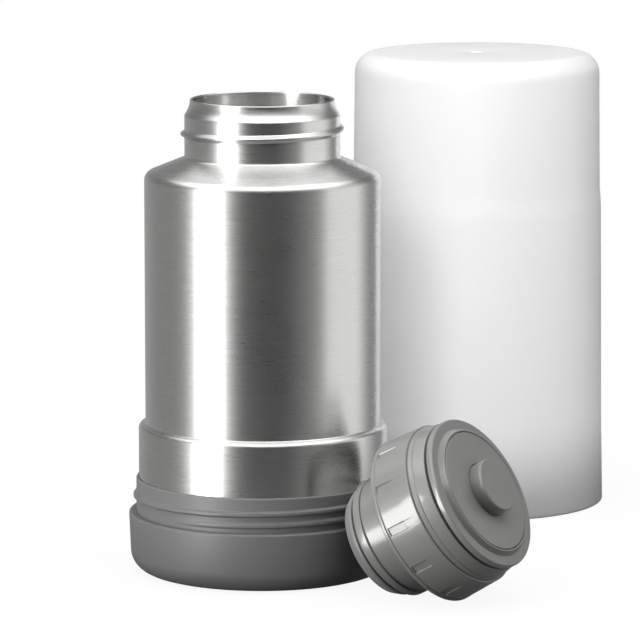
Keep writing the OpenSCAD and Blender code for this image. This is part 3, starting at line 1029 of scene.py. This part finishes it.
@dataclass
class Base:
    """Threaded collar, boot and the foam between the boot and the steel."""

    boot_r: float = field(default_factory=lambda: width_of("base_boot") / 2.0)
    boot_top: float = field(default_factory=lambda: top_of("base_boot"))
    collar_top: float = field(default_factory=lambda: top_of("thread_collar"))
    boot_taper: float = 1.0
    boot_foot: float = 8.5
    boot_edge: float = 0.9
    boot_inner_edge: float = 0.15
    boot_floor: float = 3.5
    floor_round: float = 0.8
    collar_seat: float = 16.0
    skirt_r: float = 49.85
    collar_r: float = 50.9
    collar_round: float = 0.6
    collar_inner_round: float = 0.2
    fit: float = 0.05
    thread_h: float = 1.2
    thread_w: float = 2.6
    thread_rise: float = 2.5
    thread_lead: float = 4.5
    thread_start: float = 225.0
    thread_turns: float = 1.6
    cushion_t: float = 4.0
    cushion_bore: float = 6.0
    cushion_edge: float = 0.6
    cushion_soft: float = 1.4

    def collar_mesh(self) -> bmesh.types.BMesh:
        """Mould the collar with its thread.

        Returns:
            The collar as a closed mesh.
        """
        thread = Ridge(
            root=self.collar_r, height=self.thread_h, foot=self.thread_w,
            low=self.boot_top + self.thread_rise, lead=self.thread_lead,
            start=self.thread_start, turns=self.thread_turns,
        )
        low = self.collar_seat + self.fit
        corners = [
            Corner(self.skirt_r, low),
            Corner(self.collar_r, low),
            Corner(self.collar_r, self.collar_top, self.collar_round),
            Corner(self.skirt_r, self.collar_top, self.collar_inner_round),
        ]
        mesh = spun(corners, steps=THREAD_STEPS, finer=[thread.rows()])
        thread.raise_on(mesh)
        return mesh

    def boot_mesh(self) -> bmesh.types.BMesh:
        """Mould the boot: a cup with a ledge for the collar.

        Returns:
            The boot as a closed mesh.
        """
        bore = self.collar_r + self.fit
        corners = [
            Corner(0.0, 0.0),
            Corner(self.boot_r - self.boot_taper, 0.0, self.boot_foot),
            Corner(self.boot_r, self.boot_top, self.boot_edge),
            Corner(bore, self.boot_top, self.boot_inner_edge),
            Corner(bore, self.collar_seat),
            Corner(self.skirt_r, self.collar_seat),
            Corner(self.skirt_r, self.boot_floor, self.floor_round),
            Corner(0.0, self.boot_floor),
        ]
        return spun(corners, closed=False)

    def cushion_mesh(self) -> bmesh.types.BMesh:
        """Cut the foam ring under the steel.

        Returns:
            The ring as a closed mesh.
        """
        low = self.boot_floor + self.fit
        outer = self.skirt_r - self.cushion_edge
        return foam_ring(self.cushion_bore, outer, low, low + self.cushion_t, self.cushion_soft)

    def build(self) -> None:
        """Build and dress the base."""
        finished("collar_ring", self.collar_mesh(), COLLAR_PLASTIC, Body.FLASK, "thread_collar")
        finished("boot_cup", self.boot_mesh(), BOOT_PLASTIC, Body.FLASK, "base_boot")
        cushion = finished("cushion_ring", self.cushion_mesh(), FOAM, Body.FLASK, "base_cushion")


# The stopper


@dataclass
class Stopper:
    """Stopper with its skirt, cap, face, plug and valve, along its own axis from the skirt's rim."""

    valve_mid: float = -19.8
    rim_r: float = 34.3
    rim_band: float = 1.4
    rim_fall: float = 0.4
    rim_out: float = 0.15
    rim_round: float = 0.5
    rim_edge: float = 0.25
    rim_inner_round: float = 0.3
    thread_zone_r: float = 32.9
    thread_zone: float = 10.5
    thread_slope: float = 0.9
    thread_in: float = 1.5
    thread_w: float = 2.2
    thread_rise: float = 3.0
    thread_lead: float = 4.1
    thread_start: float = 0.0
    thread_turns: float = 1.2
    thread_rows: float = 0.6
    upper_r: float = 32.0
    main_r: float = 33.4
    skirt_h: float = 16.8
    skirt_round: float = 0.2
    step_h: float = 2.5
    step_in: float = 1.0
    step_edge: float = 0.6
    step_fall: float = 0.4
    band_h: float = 5.0
    band_in: float = 1.2
    band_round: float = 0.1
    deck_t: float = 2.0
    deck_round: float = 0.2
    deck_bore_r: float = 30.28
    deck_hole_r: float = 13.5
    notch_count: int = 12
    notch_w: float = 3.5
    notch_low: float = 2.3
    notch_end: float = 10.3
    notch_depth: float = 0.65
    notch_edge: float = 0.25
    seam: float = 0.3
    slot: float = 1.2
    cap_r: float = 31.2
    cap_t: float = 2.5
    cap_low_round: float = 0.15
    cap_round: float = 0.9
    drum_r: float = 27.0
    drum_lean: float = 1.4
    drum_h: float = 2.0
    drum_wall: float = 0.6
    drum_foot: float = 0.5
    drum_round: float = 0.3
    drum_inner_round: float = 0.2
    plate_r: float = 24.7
    plate_t: float = 1.3
    plate_gap: float = 0.2
    plate_round: float = 0.35
    plate_bore_round: float = 0.12
    dome_share: float = 0.68
    roof_t: float = 1.6
    face_rise: float = 0.6
    sleeve_r: float = 10.96
    sleeve_wall: float = 1.5
    sleeve_drop: float = 1.4
    cap_wall: float = 1.8
    foot_count: int = 6
    foot_r: float = 1.6
    foot_sink: float = 0.8
    foot_turn: float = 0.5
    foot_margin: float = 0.2
    button_r: float = 10.9
    button_out: float = 5.2
    button_wall: float = 1.5
    button_round: float = 0.9
    crown_round: float = 0.5
    button_lip_r: float = 12.3
    button_lip: float = 1.2
    lip_gap: float = 0.3
    boss_r: float = 4.4
    boss_lift: float = 2.0
    boss_round: float = 0.3
    stem_r: float = 3.0
    channel_r: float = 13.0
    plug_wall: float = 1.5
    plug_r: float = 24.0
    plug_flange_r: float = 24.9
    plug_flange_z: float = -17.0
    plug_flange_t: float = 3.2
    flange_low_round: float = 0.5
    flange_round: float = 0.4
    flange_slope: float = 0.3
    flange_foot: float = 0.3
    plug_end: float = -23.5
    groove_r: float = 22.3
    groove_round: float = 0.2
    shelf_gap: float = 0.2
    spigot_r: float = 19.9
    spigot_round: float = 0.3
    gasket_r: float = 23.1
    gasket_taper: float = 2.0
    gasket_low: float = -23.9
    gasket_top: float = -19.0
    gasket_lip: float = 1.3
    gasket_bore_round: float = 0.3
    gasket_low_round: float = 0.8
    gasket_side_round: float = 0.6
    gasket_top_round: float = 0.5
    seat_z: float = -18.1
    seat_t: float = 2.0
    seat_hole_r: float = 8.0
    seat_round: float = 0.3
    well_r: float = 12.5
    well_round: float = 0.2
    guide_z: float = 10.0
    guide_t: float = 2.0
    guide_bore: float = 3.06
    guide_sink: float = 0.25
    core_soft: float = 1.2
    port_count: int = 6
    port_at: float = 8.5
    port_r: float = 2.3
    fit: float = 0.05

    @property
    def band_z(self) -> float:
        """Height at which the tapered band starts."""
        return self.skirt_h + self.step_h

    @property
    def deck_top(self) -> float:
        """Height of the deck over the neck."""
        return self.band_z + self.band_h

    @property
    def deck_low(self) -> float:
        """Height of the deck's underside."""
        return self.deck_top - self.deck_t

    @property
    def cap_z(self) -> float:
        """Height of the cap's underside, over the pouring slot."""
        return self.deck_top + self.slot

    @property
    def drum_z(self) -> float:
        """Height at which the drum starts."""
        return self.cap_z + self.cap_t

    @property
    def drum_top(self) -> float:
        """Height of the drum's edge."""
        return self.drum_z + self.drum_h

    @property
    def plate_z(self) -> float:
        """Height of the seat of the face plate."""
        return self.drum_top - self.plate_t

    @property
    def sleeve_low(self) -> float:
        """Height of the lower end of the button's sleeve."""
        return self.plate_z - self.roof_t - self.sleeve_drop

    @property
    def button_top(self) -> float:
        """Height of the button at rest."""
        return self.drum_top + self.face_rise + self.button_out

    def place(self) -> Matrix:
        """Find where the stopper lies, from its valve and from the way that its button goes.

        Returns:
            The place of its axis, in metres.
        """
        press = next(joint for joint in frame["joints"] if joint["name"] == "button_press")
        out = -Vector(press["axis"]).normalized()
        down = (Vector((0.0, 0.0, -1.0)) - out * -out.z).normalized()
        side = out.cross(down)
        low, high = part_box("valve_disc")
        rim = (low + high) / 2.0 - out * self.valve_mid * MM
        turned = Matrix((down, side, out)).transposed().to_4x4()
        return Matrix.Translation(rim) @ turned

    def skirt_mesh(self) -> bmesh.types.BMesh:
        """Mould the skirt, with its notches outside and its thread inside.

        Returns:
            The skirt as a closed mesh.
        """
        wall_foot = self.rim_r - self.rim_out
        wall_z = self.rim_band + self.rim_fall
        lean = (wall_foot - self.main_r) / (self.skirt_h - wall_z - self.seam)
        ends = (
            self.notch_low, self.notch_low + self.notch_edge,
            self.notch_end - self.notch_edge, self.notch_end,
        )
        thread = Ridge(
            root=self.thread_zone_r, height=-self.thread_in, foot=self.thread_w, low=self.thread_rise,
            lead=self.thread_lead, start=self.thread_start, turns=self.thread_turns,
        )
        step_r = self.main_r - self.step_edge
        step_low = self.skirt_h + self.step_fall
        band_r = self.main_r - self.step_in
        corners = [
            Corner(self.thread_zone_r, 0.0, self.rim_inner_round),
            Corner(self.rim_r, 0.0, self.rim_round),
            Corner(self.rim_r, self.rim_band, self.rim_edge),
            Corner(wall_foot - self.seam, self.rim_band + self.seam),
            Corner(wall_foot - self.seam, wall_z),
            Corner(wall_foot, wall_z + self.seam),
            *[Corner(wall_foot - lean * (z - wall_z - self.seam), z) for z in ends],
            Corner(self.main_r, self.skirt_h, self.skirt_round),
            Corner(step_r - self.seam, self.skirt_h + self.step_fall / 2.0),
            Corner(step_r - self.seam, step_low),
            Corner(step_r, step_low + self.seam, self.band_round),
            Corner(band_r, self.band_z - self.seam, self.band_round),
            Corner(band_r - self.seam, self.band_z),
            Corner(band_r - self.seam / 2.0, self.band_z + self.seam, self.band_round),
            Corner(band_r - self.band_in, self.deck_top, self.deck_round),
            Corner(self.deck_hole_r, self.deck_top),
            Corner(self.deck_hole_r, self.deck_low),
            Corner(self.deck_bore_r, self.deck_low),
            Corner(self.upper_r, self.skirt_h),
            Corner(self.upper_r, self.thread_zone + self.thread_slope),
            Corner(self.thread_zone_r, self.thread_zone),
        ]
        # At this height only the wall under the thread is long enough to be split
        near_top = self.thread_zone - self.seam
        mesh = spun(corners, steps=NOTCH_STEPS, finer=[Rows(near_top, near_top, self.thread_rows)])
        self.cut_notches(mesh)
        thread.raise_on(mesh)
        return mesh

    def cut_notches(self, mesh: bmesh.types.BMesh) -> None:
        """Press the shallow notches into the skirt's outer wall.

        Args:
            mesh: the turned skirt.
        """
        floor = self.rim_r - self.rim_out - self.notch_depth
        pitch = 360.0 / self.notch_count
        for vert in mesh.verts:
            radius, angle = polar(vert.co)
            inside = self.notch_low < vert.co.z - MERGE and vert.co.z + MERGE < self.notch_end
            off = math.radians((angle + pitch / 2.0) % pitch - pitch / 2.0)
            across = abs(math.sin(off)) * radius
            if inside and radius >= floor and across < self.notch_w / 2.0:
                move_out(vert.co, floor / math.cos(off) / radius)

    def cap_mesh(self) -> bmesh.types.BMesh:
        """Mould the cap: flange, drum and sleeve, on the feet that keep the slot open.

        Returns:
            The cap and its feet in one mesh.
        """
        foot_at = self.cap_r - 2.0 * self.foot_r
        roof = self.plate_z - self.roof_t
        drum_top_r = self.drum_r - self.drum_lean
        corners = [
            Corner(foot_at - self.foot_r - self.foot_margin, self.cap_z),
            Corner(self.cap_r, self.cap_z, self.cap_low_round),
            Corner(self.cap_r, self.drum_z, self.cap_round),
            Corner(self.drum_r, self.drum_z, self.drum_foot),
            Corner(drum_top_r, self.drum_top, self.drum_round),
            Corner(drum_top_r - self.drum_wall, self.drum_top, self.drum_inner_round),
            Corner(drum_top_r - self.drum_wall, self.plate_z),
            Corner(self.sleeve_r, self.plate_z),
            Corner(self.sleeve_r, self.sleeve_low),
            Corner(self.sleeve_r + self.sleeve_wall, self.sleeve_low),
            Corner(self.sleeve_r + self.sleeve_wall, roof),
            Corner(self.drum_r - self.cap_wall, roof),
        ]
        meshes = [spun(corners)]
        height = self.slot + self.foot_sink
        for x, y in ring_points(self.foot_count, foot_at, self.foot_turn):
            foot = bmesh.new()
            bmesh.ops.create_cone(
                foot, cap_ends=True, segments=PEG_STEPS, radius1=self.foot_r, radius2=self.foot_r,
                depth=height, matrix=Matrix.Translation((x, y, self.deck_top + height / 2.0)),
            )
            meshes.append(foot)
        return joined(meshes)

    def face_mesh(self) -> bmesh.types.BMesh:
        """Mould the slightly domed face plate.

        Returns:
            The plate as a closed mesh.
        """
        bore = self.sleeve_r + self.plate_gap
        corners = [
            Corner(bore, self.plate_z),
            Corner(self.plate_r, self.plate_z),
            Corner(self.plate_r, self.drum_top, self.plate_round),
            Corner((self.plate_r + bore) / 2.0, self.drum_top + self.face_rise * self.dome_share),
            Corner(bore, self.drum_top + self.face_rise, self.plate_bore_round),
        ]
        return spun(corners)

    def button_mesh(self) -> bmesh.types.BMesh:
        """Mould the button: a cap with a lip and a boss for the stem.

        Returns:
            The button as a closed mesh.
        """
        lip_top = self.sleeve_low - self.lip_gap
        lip_low = lip_top - self.button_lip
        crown = self.button_top - self.button_wall
        bore = self.button_r - self.button_wall
        corners = [
            Corner(0.0, self.button_top),
            Corner(self.button_r, self.button_top, self.button_round),
            Corner(self.button_r, lip_top),
            Corner(self.button_lip_r, lip_top),
            Corner(self.button_lip_r, lip_low),
            Corner(bore, lip_low),
            Corner(bore, crown, self.crown_round),
            Corner(self.boss_r, crown, self.boss_round),
            Corner(self.boss_r, lip_low + self.boss_lift),
            Corner(self.stem_r + self.fit, lip_low + self.boss_lift),
            Corner(self.stem_r + self.fit, crown),
            Corner(0.0, crown),
        ]
        return spun(corners, closed=False, steps=BUTTON_STEPS)

    def plug_mesh(self) -> bmesh.types.BMesh:
        """Mould the plug: its walls, its flange, the valve's seat and the stem's guide.

        Returns:
            The plug and the guide in one mesh.
        """
        top = self.deck_low - self.fit
        floor = self.seat_z + self.seat_t
        shelf = self.gasket_top + self.shelf_gap
        flange_top = self.plug_flange_z + self.plug_flange_t
        tube_r = self.channel_r + self.plug_wall
        lining_r = self.plug_r - self.plug_wall
        corners = [
            Corner(self.well_r, self.plug_end, self.well_round),
            Corner(self.spigot_r, self.plug_end, self.spigot_round),
            Corner(self.spigot_r, shelf),
            Corner(self.groove_r, shelf, self.groove_round),
            Corner(self.groove_r, self.plug_flange_z),
            Corner(self.plug_flange_r, self.plug_flange_z, self.flange_low_round),
            Corner(self.plug_flange_r, flange_top, self.flange_round),
            Corner(self.plug_r, flange_top + self.flange_slope, self.flange_foot),
            Corner(self.plug_r, top),
            Corner(lining_r, top),
            Corner(lining_r, floor),
            Corner(tube_r, floor),
            Corner(tube_r, top),
            Corner(self.channel_r, top),
            Corner(self.channel_r, floor),
            Corner(self.seat_hole_r, floor, self.seat_round),
            Corner(self.seat_hole_r, self.seat_z),
            Corner(self.well_r, self.seat_z),
        ]
        guide = drilled_plate(
            outer=self.channel_r + self.guide_sink, bore=self.guide_bore,
            ports=ring_points(self.port_count, self.port_at), port_r=self.port_r,
            low=self.guide_z, thick=self.guide_t,
        )
        return joined([spun(corners), guide])

    def gasket_mesh(self) -> bmesh.types.BMesh:
        """Mould the gasket round the end of the plug.

        Returns:
            The gasket as a closed mesh.
        """
        bore = self.spigot_r + self.fit
        corners = [
            Corner(bore, self.gasket_low, self.gasket_bore_round),
            Corner(self.gasket_r - self.gasket_taper, self.gasket_low, self.gasket_low_round),
            Corner(self.gasket_r, self.gasket_top - self.gasket_lip, self.gasket_side_round),
            Corner(self.gasket_r, self.gasket_top, self.gasket_top_round),
            Corner(bore, self.gasket_top),
        ]
        return spun(corners)

    def core_mesh(self) -> bmesh.types.BMesh:
        """Cut the foam ring in the plug's hollow wall.

        Returns:
            The ring as a closed mesh.
        """
        low = self.seat_z + self.seat_t + self.fit
        high = self.deck_low - 2.0 * self.fit
        outer = self.plug_r - self.plug_wall - self.fit
        bore = self.channel_r + self.plug_wall + self.fit
        return foam_ring(bore, outer, low, high, self.core_soft)

    def build(self) -> None:
        """Build and dress the stopper."""
        place = self.place()
        parts = (
            ("skirt_ring", self.skirt_mesh(), STOPPER_PLASTIC, Body.STOPPER, "stopper_skirt"),
            ("cap_drum", self.cap_mesh(), STOPPER_PLASTIC, Body.STOPPER, "stopper_cap"),
            ("face_disc", self.face_mesh(), STOPPER_PLASTIC, Body.STOPPER, "face_plate"),
            ("plug_barrel", self.plug_mesh(), STOPPER_PLASTIC, Body.STOPPER, "plug_body"),
            ("plug_seal", self.gasket_mesh(), SILICONE, Body.STOPPER, "plug_gasket"),
            ("button_knob", self.button_mesh(), STOPPER_PLASTIC, Body.BUTTON, "push_button"),
        )
        for name, mesh, finish, body, node in parts:
            finished(name, mesh, finish, body, node, place)
        core = finished("core_ring", self.core_mesh(), FOAM, Body.STOPPER, "insulation_core", place)
        plain = {
            "neck_gasket": SILICONE, "button_spring": WIRE, "valve_stem": WIRE,
            "valve_disc": STOPPER_PLASTIC, "valve_seal": SILICONE, "stem_clip": WIRE,
        }
        for node, finish in plain.items():
            dressed(node, finish)


# The cover


@dataclass
class Cover:
    """Tall frosted cover that stands rim down."""

    rim_r: float = field(default_factory=lambda: width_of("cover_shell") / 2.0)
    height: float = field(default_factory=lambda: top_of("cover_shell"))
    wall_r: float = 54.5
    bore_r: float = 52.6
    wall: float = 1.9
    rim_round: float = 0.9
    rim_inner_round: float = 0.5
    band_z: float = 36.0
    band_round: float = 2.0
    step_z: float = 129.0
    step: float = 0.6
    step_rise: float = 8.0
    step_round: float = 30.0
    draft: float = 1.6
    top_round: float = 8.5
    gate_r: float = 3.0
    gate_depth: float = 0.5
    gate_round: float = 0.25
    gate_floor_round: float = 0.15
    thread_in: float = 1.3
    thread_w: float = 2.4
    thread_z: float = 6.0
    thread_lead: float = 4.5
    thread_start: float = 0.0
    thread_turns: float = 1.5
    thread_rows: float = 0.5

    def mesh(self) -> bmesh.types.BMesh:
        """Mould the cover, with its inner thread and the dimple of its mould's gate.

        Returns:
            The cover as a closed mesh.
        """
        thread = Ridge(
            root=self.bore_r, height=-self.thread_in, foot=self.thread_w, low=self.thread_z,
            lead=self.thread_lead, start=self.thread_start, turns=self.thread_turns,
        )
        mid_r = self.wall_r - self.draft * (self.step_z - self.band_z) / (self.height - self.band_z)
        top_r = self.wall_r - self.step - self.draft
        ceiling = self.height - self.wall
        corners = [
            Corner(0.0, self.height - self.gate_depth),
            Corner(self.gate_r, self.height - self.gate_depth, self.gate_floor_round),
            Corner(self.gate_r, self.height, self.gate_round),
            Corner(top_r, self.height, self.top_round),
            Corner(mid_r - self.step, self.step_z + self.step_rise, self.step_round),
            Corner(mid_r, self.step_z, self.step_round),
            Corner(self.wall_r, self.band_z, self.band_round),
            Corner(self.rim_r, 0.0, self.rim_round),
            Corner(self.bore_r, 0.0, self.rim_inner_round),
            Corner(self.bore_r, self.band_z),
            Corner(mid_r - self.wall, self.step_z),
            Corner(mid_r - self.step - self.wall, self.step_z + self.step_rise),
            Corner(top_r - self.wall, ceiling, self.top_round - self.wall),
            Corner(0.0, ceiling),
        ]
        rows = Rows(0.0, thread.rows().high, self.thread_rows)
        mesh = spun(corners, closed=False, steps=THREAD_STEPS, finer=[rows])
        thread.raise_on(mesh)
        return mesh

    def build(self) -> None:
        """Build and dress the cover."""
        low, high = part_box("cover_shell")
        centre = (low + high) / 2.0
        place = Matrix.Translation((centre.x, centre.y, 0.0))
        finished("cover_jug", self.mesh(), FROST, Body.COVER, "cover_shell", place)


# The studio


@dataclass(frozen=True)
class Softbox:
    """A rectangular lamp, in metres and watts: where it hangs, what it faces and what it lights."""

    name: str
    at: tuple[float, float, float]
    facing: tuple[float, float, float]
    size: tuple[float, float]
    power: float
    spread: float
    reach: Reach

    def hang(self, cover: bpy.types.Object) -> None:
        """Hang the lamp in the scene.

        Args:
            cover: the piece that the lamp lights alone, or leaves out.
        """
        data = bpy.data.lights.new(self.name, "AREA")
        data.shape = "RECTANGLE"
        data.size, data.size_y = self.size
        data.energy = self.power
        data.spread = math.radians(self.spread)
        lamp = bpy.data.objects.new(self.name, data)
        lamp.location = self.at
        lamp.rotation_euler = (Vector(self.facing) - Vector(self.at)).to_track_quat("-Z", "Y").to_euler()
        lamp.visible_camera = False
        bpy.context.scene.collection.objects.link(lamp)
        group = bpy.data.collections.new(self.name + "_reach")
        group.objects.link(cover)
        group.collection_objects[0].light_linking.link_state = self.reach.value
        lamp.light_linking.receiver_collection = group


@dataclass
class Studio:
    """Pale floor, soft light tent, white surroundings and the camera, in metres and degrees."""

    eye: tuple[float, float, float] = (0.023, -1.8913, 0.3951)
    pitch: float = 81.165
    lens: float = 268.8
    floor_at: tuple[float, float, float] = (0.045, 0.05, -0.0003)
    floor_solid: float = 0.15
    floor_edge: float = 0.3
    floor_tone: float = 0.12
    floor_glow: float = 2.04
    floor_share: float = 0.45
    floor_gloss: float = 0.1
    floor_grain: float = 40.0
    floor_mottle: float = 0.02
    tent_r: float = 1.3
    sky_fill: float = 0.3
    # Brightness of the tent's wall by bearing: 0 towards the camera, and to the right from there
    wall_light: tuple[tuple[float, float], ...] = (
        (-180.0, 0.42), (-150.0, 0.38), (-121.0, 0.31), (-92.0, 0.31), (-80.0, 0.4), (-70.0, 0.9),
        (-64.0, 1.4), (-44.0, 1.3), (-34.0, 0.75), (-24.0, 0.2), (-14.0, 0.07), (-3.0, 0.045),
        (8.0, 0.03), (18.0, 0.03), (27.0, 0.07), (37.0, 0.15), (48.0, 0.26), (57.0, 0.4),
        (63.0, 0.75), (67.0, 1.1), (104.0, 1.1), (116.0, 0.62), (127.0, 0.31), (160.0, 0.33),
        (180.0, 0.42),
    )
    brightest: float = 2.0
    # Zones in shares of the tent's radius: up the wall, down the wall, and from the front to the back
    wall_dim: float = 0.35
    wall_dim_zone: tuple[float, float] = (0.1, 0.4)
    low_dim: float = 0.9
    low_dim_zone: tuple[float, float] = (0.16, 0.34)
    back_zone: tuple[float, float] = (-0.1, 0.45)
    wall_top: float = 0.64
    ceiling_low: float = 0.74
    ceiling_high: float = 0.9
    ceiling_front: float = 2.9
    ceiling_back: float = 1.1
    ceiling_over: float = 0.9
    lamps: tuple[Softbox, ...] = (
        Softbox(
            "key_softbox", at=(-0.933, -0.755, 0.35), facing=(0.0, 0.0, 0.35), size=(0.4, 1.3),
            power=21.0, spread=180.0, reach=Reach.ALL_BUT_COVER,
        ),
        Softbox(
            "cover_softbox", at=(-0.055, -0.788, 0.45), facing=(0.09, 0.15, 0.12), size=(0.3, 0.3),
            power=1.0, spread=60.0, reach=Reach.COVER,
        ),
    )

    def floor(self) -> None:
        """Lay a round floor whose edge fades into the white."""
        mesh = bmesh.new()
        bmesh.ops.create_circle(
            mesh, cap_ends=True, segments=FLOOR_STEPS, radius=self.floor_edge,
            matrix=Matrix.Translation(self.floor_at),
        )
        material, graph = new_material("pale_floor")
        place = graph.object_place()
        ends = {0: place, 1: self.floor_at}
        off = graph.add("ShaderNodeVectorMath", {"operation": "DISTANCE"}, ends, output="Value")
        gone = graph.eased(off, self.floor_solid, self.floor_edge)
        dark, pale = (self.floor_tone,) * 3, (self.floor_tone + self.floor_mottle,) * 3
        tone = graph.shade(graph.noise(place, self.floor_grain), dark, pale)
        matt = graph.add("ShaderNodeBsdfDiffuse", sockets={"Color": tone})
        glow = graph.add("ShaderNodeEmission", sockets={"Strength": self.floor_glow})
        clear = graph.add("ShaderNodeBsdfTransparent")
        seen = seen_as_backdrop(graph, self.floor_gloss) * self.floor_share
        lit = graph.add("ShaderNodeMixShader", sockets={0: seen, 1: matt, 2: glow})
        faded = graph.add("ShaderNodeMixShader", sockets={0: gone, 1: lit, 2: clear})
        graph.add("ShaderNodeOutputMaterial", sockets={"Surface": faded})
        self.stand("studio_floor", mesh, material)

    def tent(self) -> None:
        """Raise a light tent round the set, bright on the left, softer on the right and dark in front."""
        mesh = bmesh.new()
        bmesh.ops.create_uvsphere(
            mesh, u_segments=TENT_STEPS, v_segments=TENT_STEPS // 2, radius=self.tent_r
        )
        material, graph = new_material("light_tent")
        x, y, z = graph.split(graph.object_place())
        bearing = graph.math("ARCTAN2", x, -y) / FULL_TURN + 0.5
        stops = [(angle / 360.0 + 0.5, level / self.brightest) for angle, level in self.wall_light]
        wall = graph.add("ShaderNodeValToRGB", {"stops": stops}, {0: bearing}) * self.brightest
        rise = z / self.tent_r
        behind = graph.eased(y / self.tent_r, *self.back_zone)
        band = self.ceiling_front + behind * (self.ceiling_back - self.ceiling_front)
        over = graph.eased(rise, self.ceiling_high, 1.0)
        upper = graph.eased(rise, self.wall_top, self.ceiling_low)
        wall = wall * (1.0 - graph.eased(rise, *self.wall_dim_zone) * self.wall_dim)
        wall = wall * (1.0 - graph.eased(-rise, *self.low_dim_zone) * self.low_dim)
        ceiling = band * (1.0 - over) + over * self.ceiling_over
        strength = wall * (1.0 - upper) + ceiling * upper
        glow = graph.add("ShaderNodeEmission", sockets={"Strength": strength})
        graph.add("ShaderNodeOutputMaterial", sockets={"Surface": glow})
        tent = self.stand("studio_tent", mesh, material)
        tent.visible_camera = False
        tent.visible_transmission = False

    @staticmethod
    def stand(name: str, mesh: bmesh.types.BMesh, material: bpy.types.Material) -> bpy.types.Object:
        """Stand a piece of the studio in the scene.

        Args:
            name: the piece's name.
            mesh: its shape, in metres.
            material: its only material.

        Returns:
            The piece.
        """
        piece = smooth_object(name, mesh, material)
        return piece

    def surroundings(self) -> None:
        """Make the world white where it is seen, and weaker where it lights the set."""
        world = bpy.data.worlds.new("white_surroundings")
        world.use_nodes = True
        graph = Graph(world.node_tree)
        seen = seen_as_backdrop(graph)
        strength = self.sky_fill + seen * (1.0 - self.sky_fill)
        light = graph.add("ShaderNodeBackground", sockets={"Color": WHITE, "Strength": strength})
        graph.add("ShaderNodeOutputWorld", sockets={"Surface": light})
        bpy.context.scene.world = world

    def camera(self) -> None:
        """Set up the camera at the photograph's viewing angle."""
        data = bpy.data.cameras.new("camera")
        data.lens = self.lens
        eye = bpy.data.objects.new("camera", data)
        eye.location = self.eye
        eye.rotation_euler = (math.radians(self.pitch), 0.0, 0.0)
        bpy.context.scene.collection.objects.link(eye)
        bpy.context.scene.camera = eye

    def build(self) -> None:
        """Build the studio."""
        self.camera()
        self.floor()
        self.tent()
        self.surroundings()
        for lamp in self.lamps:
            lamp.hang(bpy.data.objects["cover_jug"])
        bpy.context.scene.view_settings.view_transform = "Standard"


def seen_as_backdrop(graph: Graph, gloss: float = 1.0) -> Wire:
    """Tell where the backdrop is seen, and not only lights the set.

    Args:
        graph: the backdrop's graph.
        gloss: how much of it a reflection shows.

    Returns:
        1 for a camera or transmitted ray, the given share for a glossy one, and 0 for the rest.
    """
    names = ("Is Camera Ray", "Is Glossy Ray", "Is Transmission Ray")
    camera, glossy, through = (graph.add("ShaderNodeLightPath", output=name) for name in names)
    return graph.math("MINIMUM", camera + glossy * gloss + through, 1.0)


def main() -> None:
    """Build the set and its studio."""
    logging.basicConfig(level=logging.INFO, format="%(name)s: %(message)s")
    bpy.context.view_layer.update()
    for part in (Flask(), Base(), Stopper(), Cover(), Studio()):
        part.build()


if __name__ == "__main__":
    main()
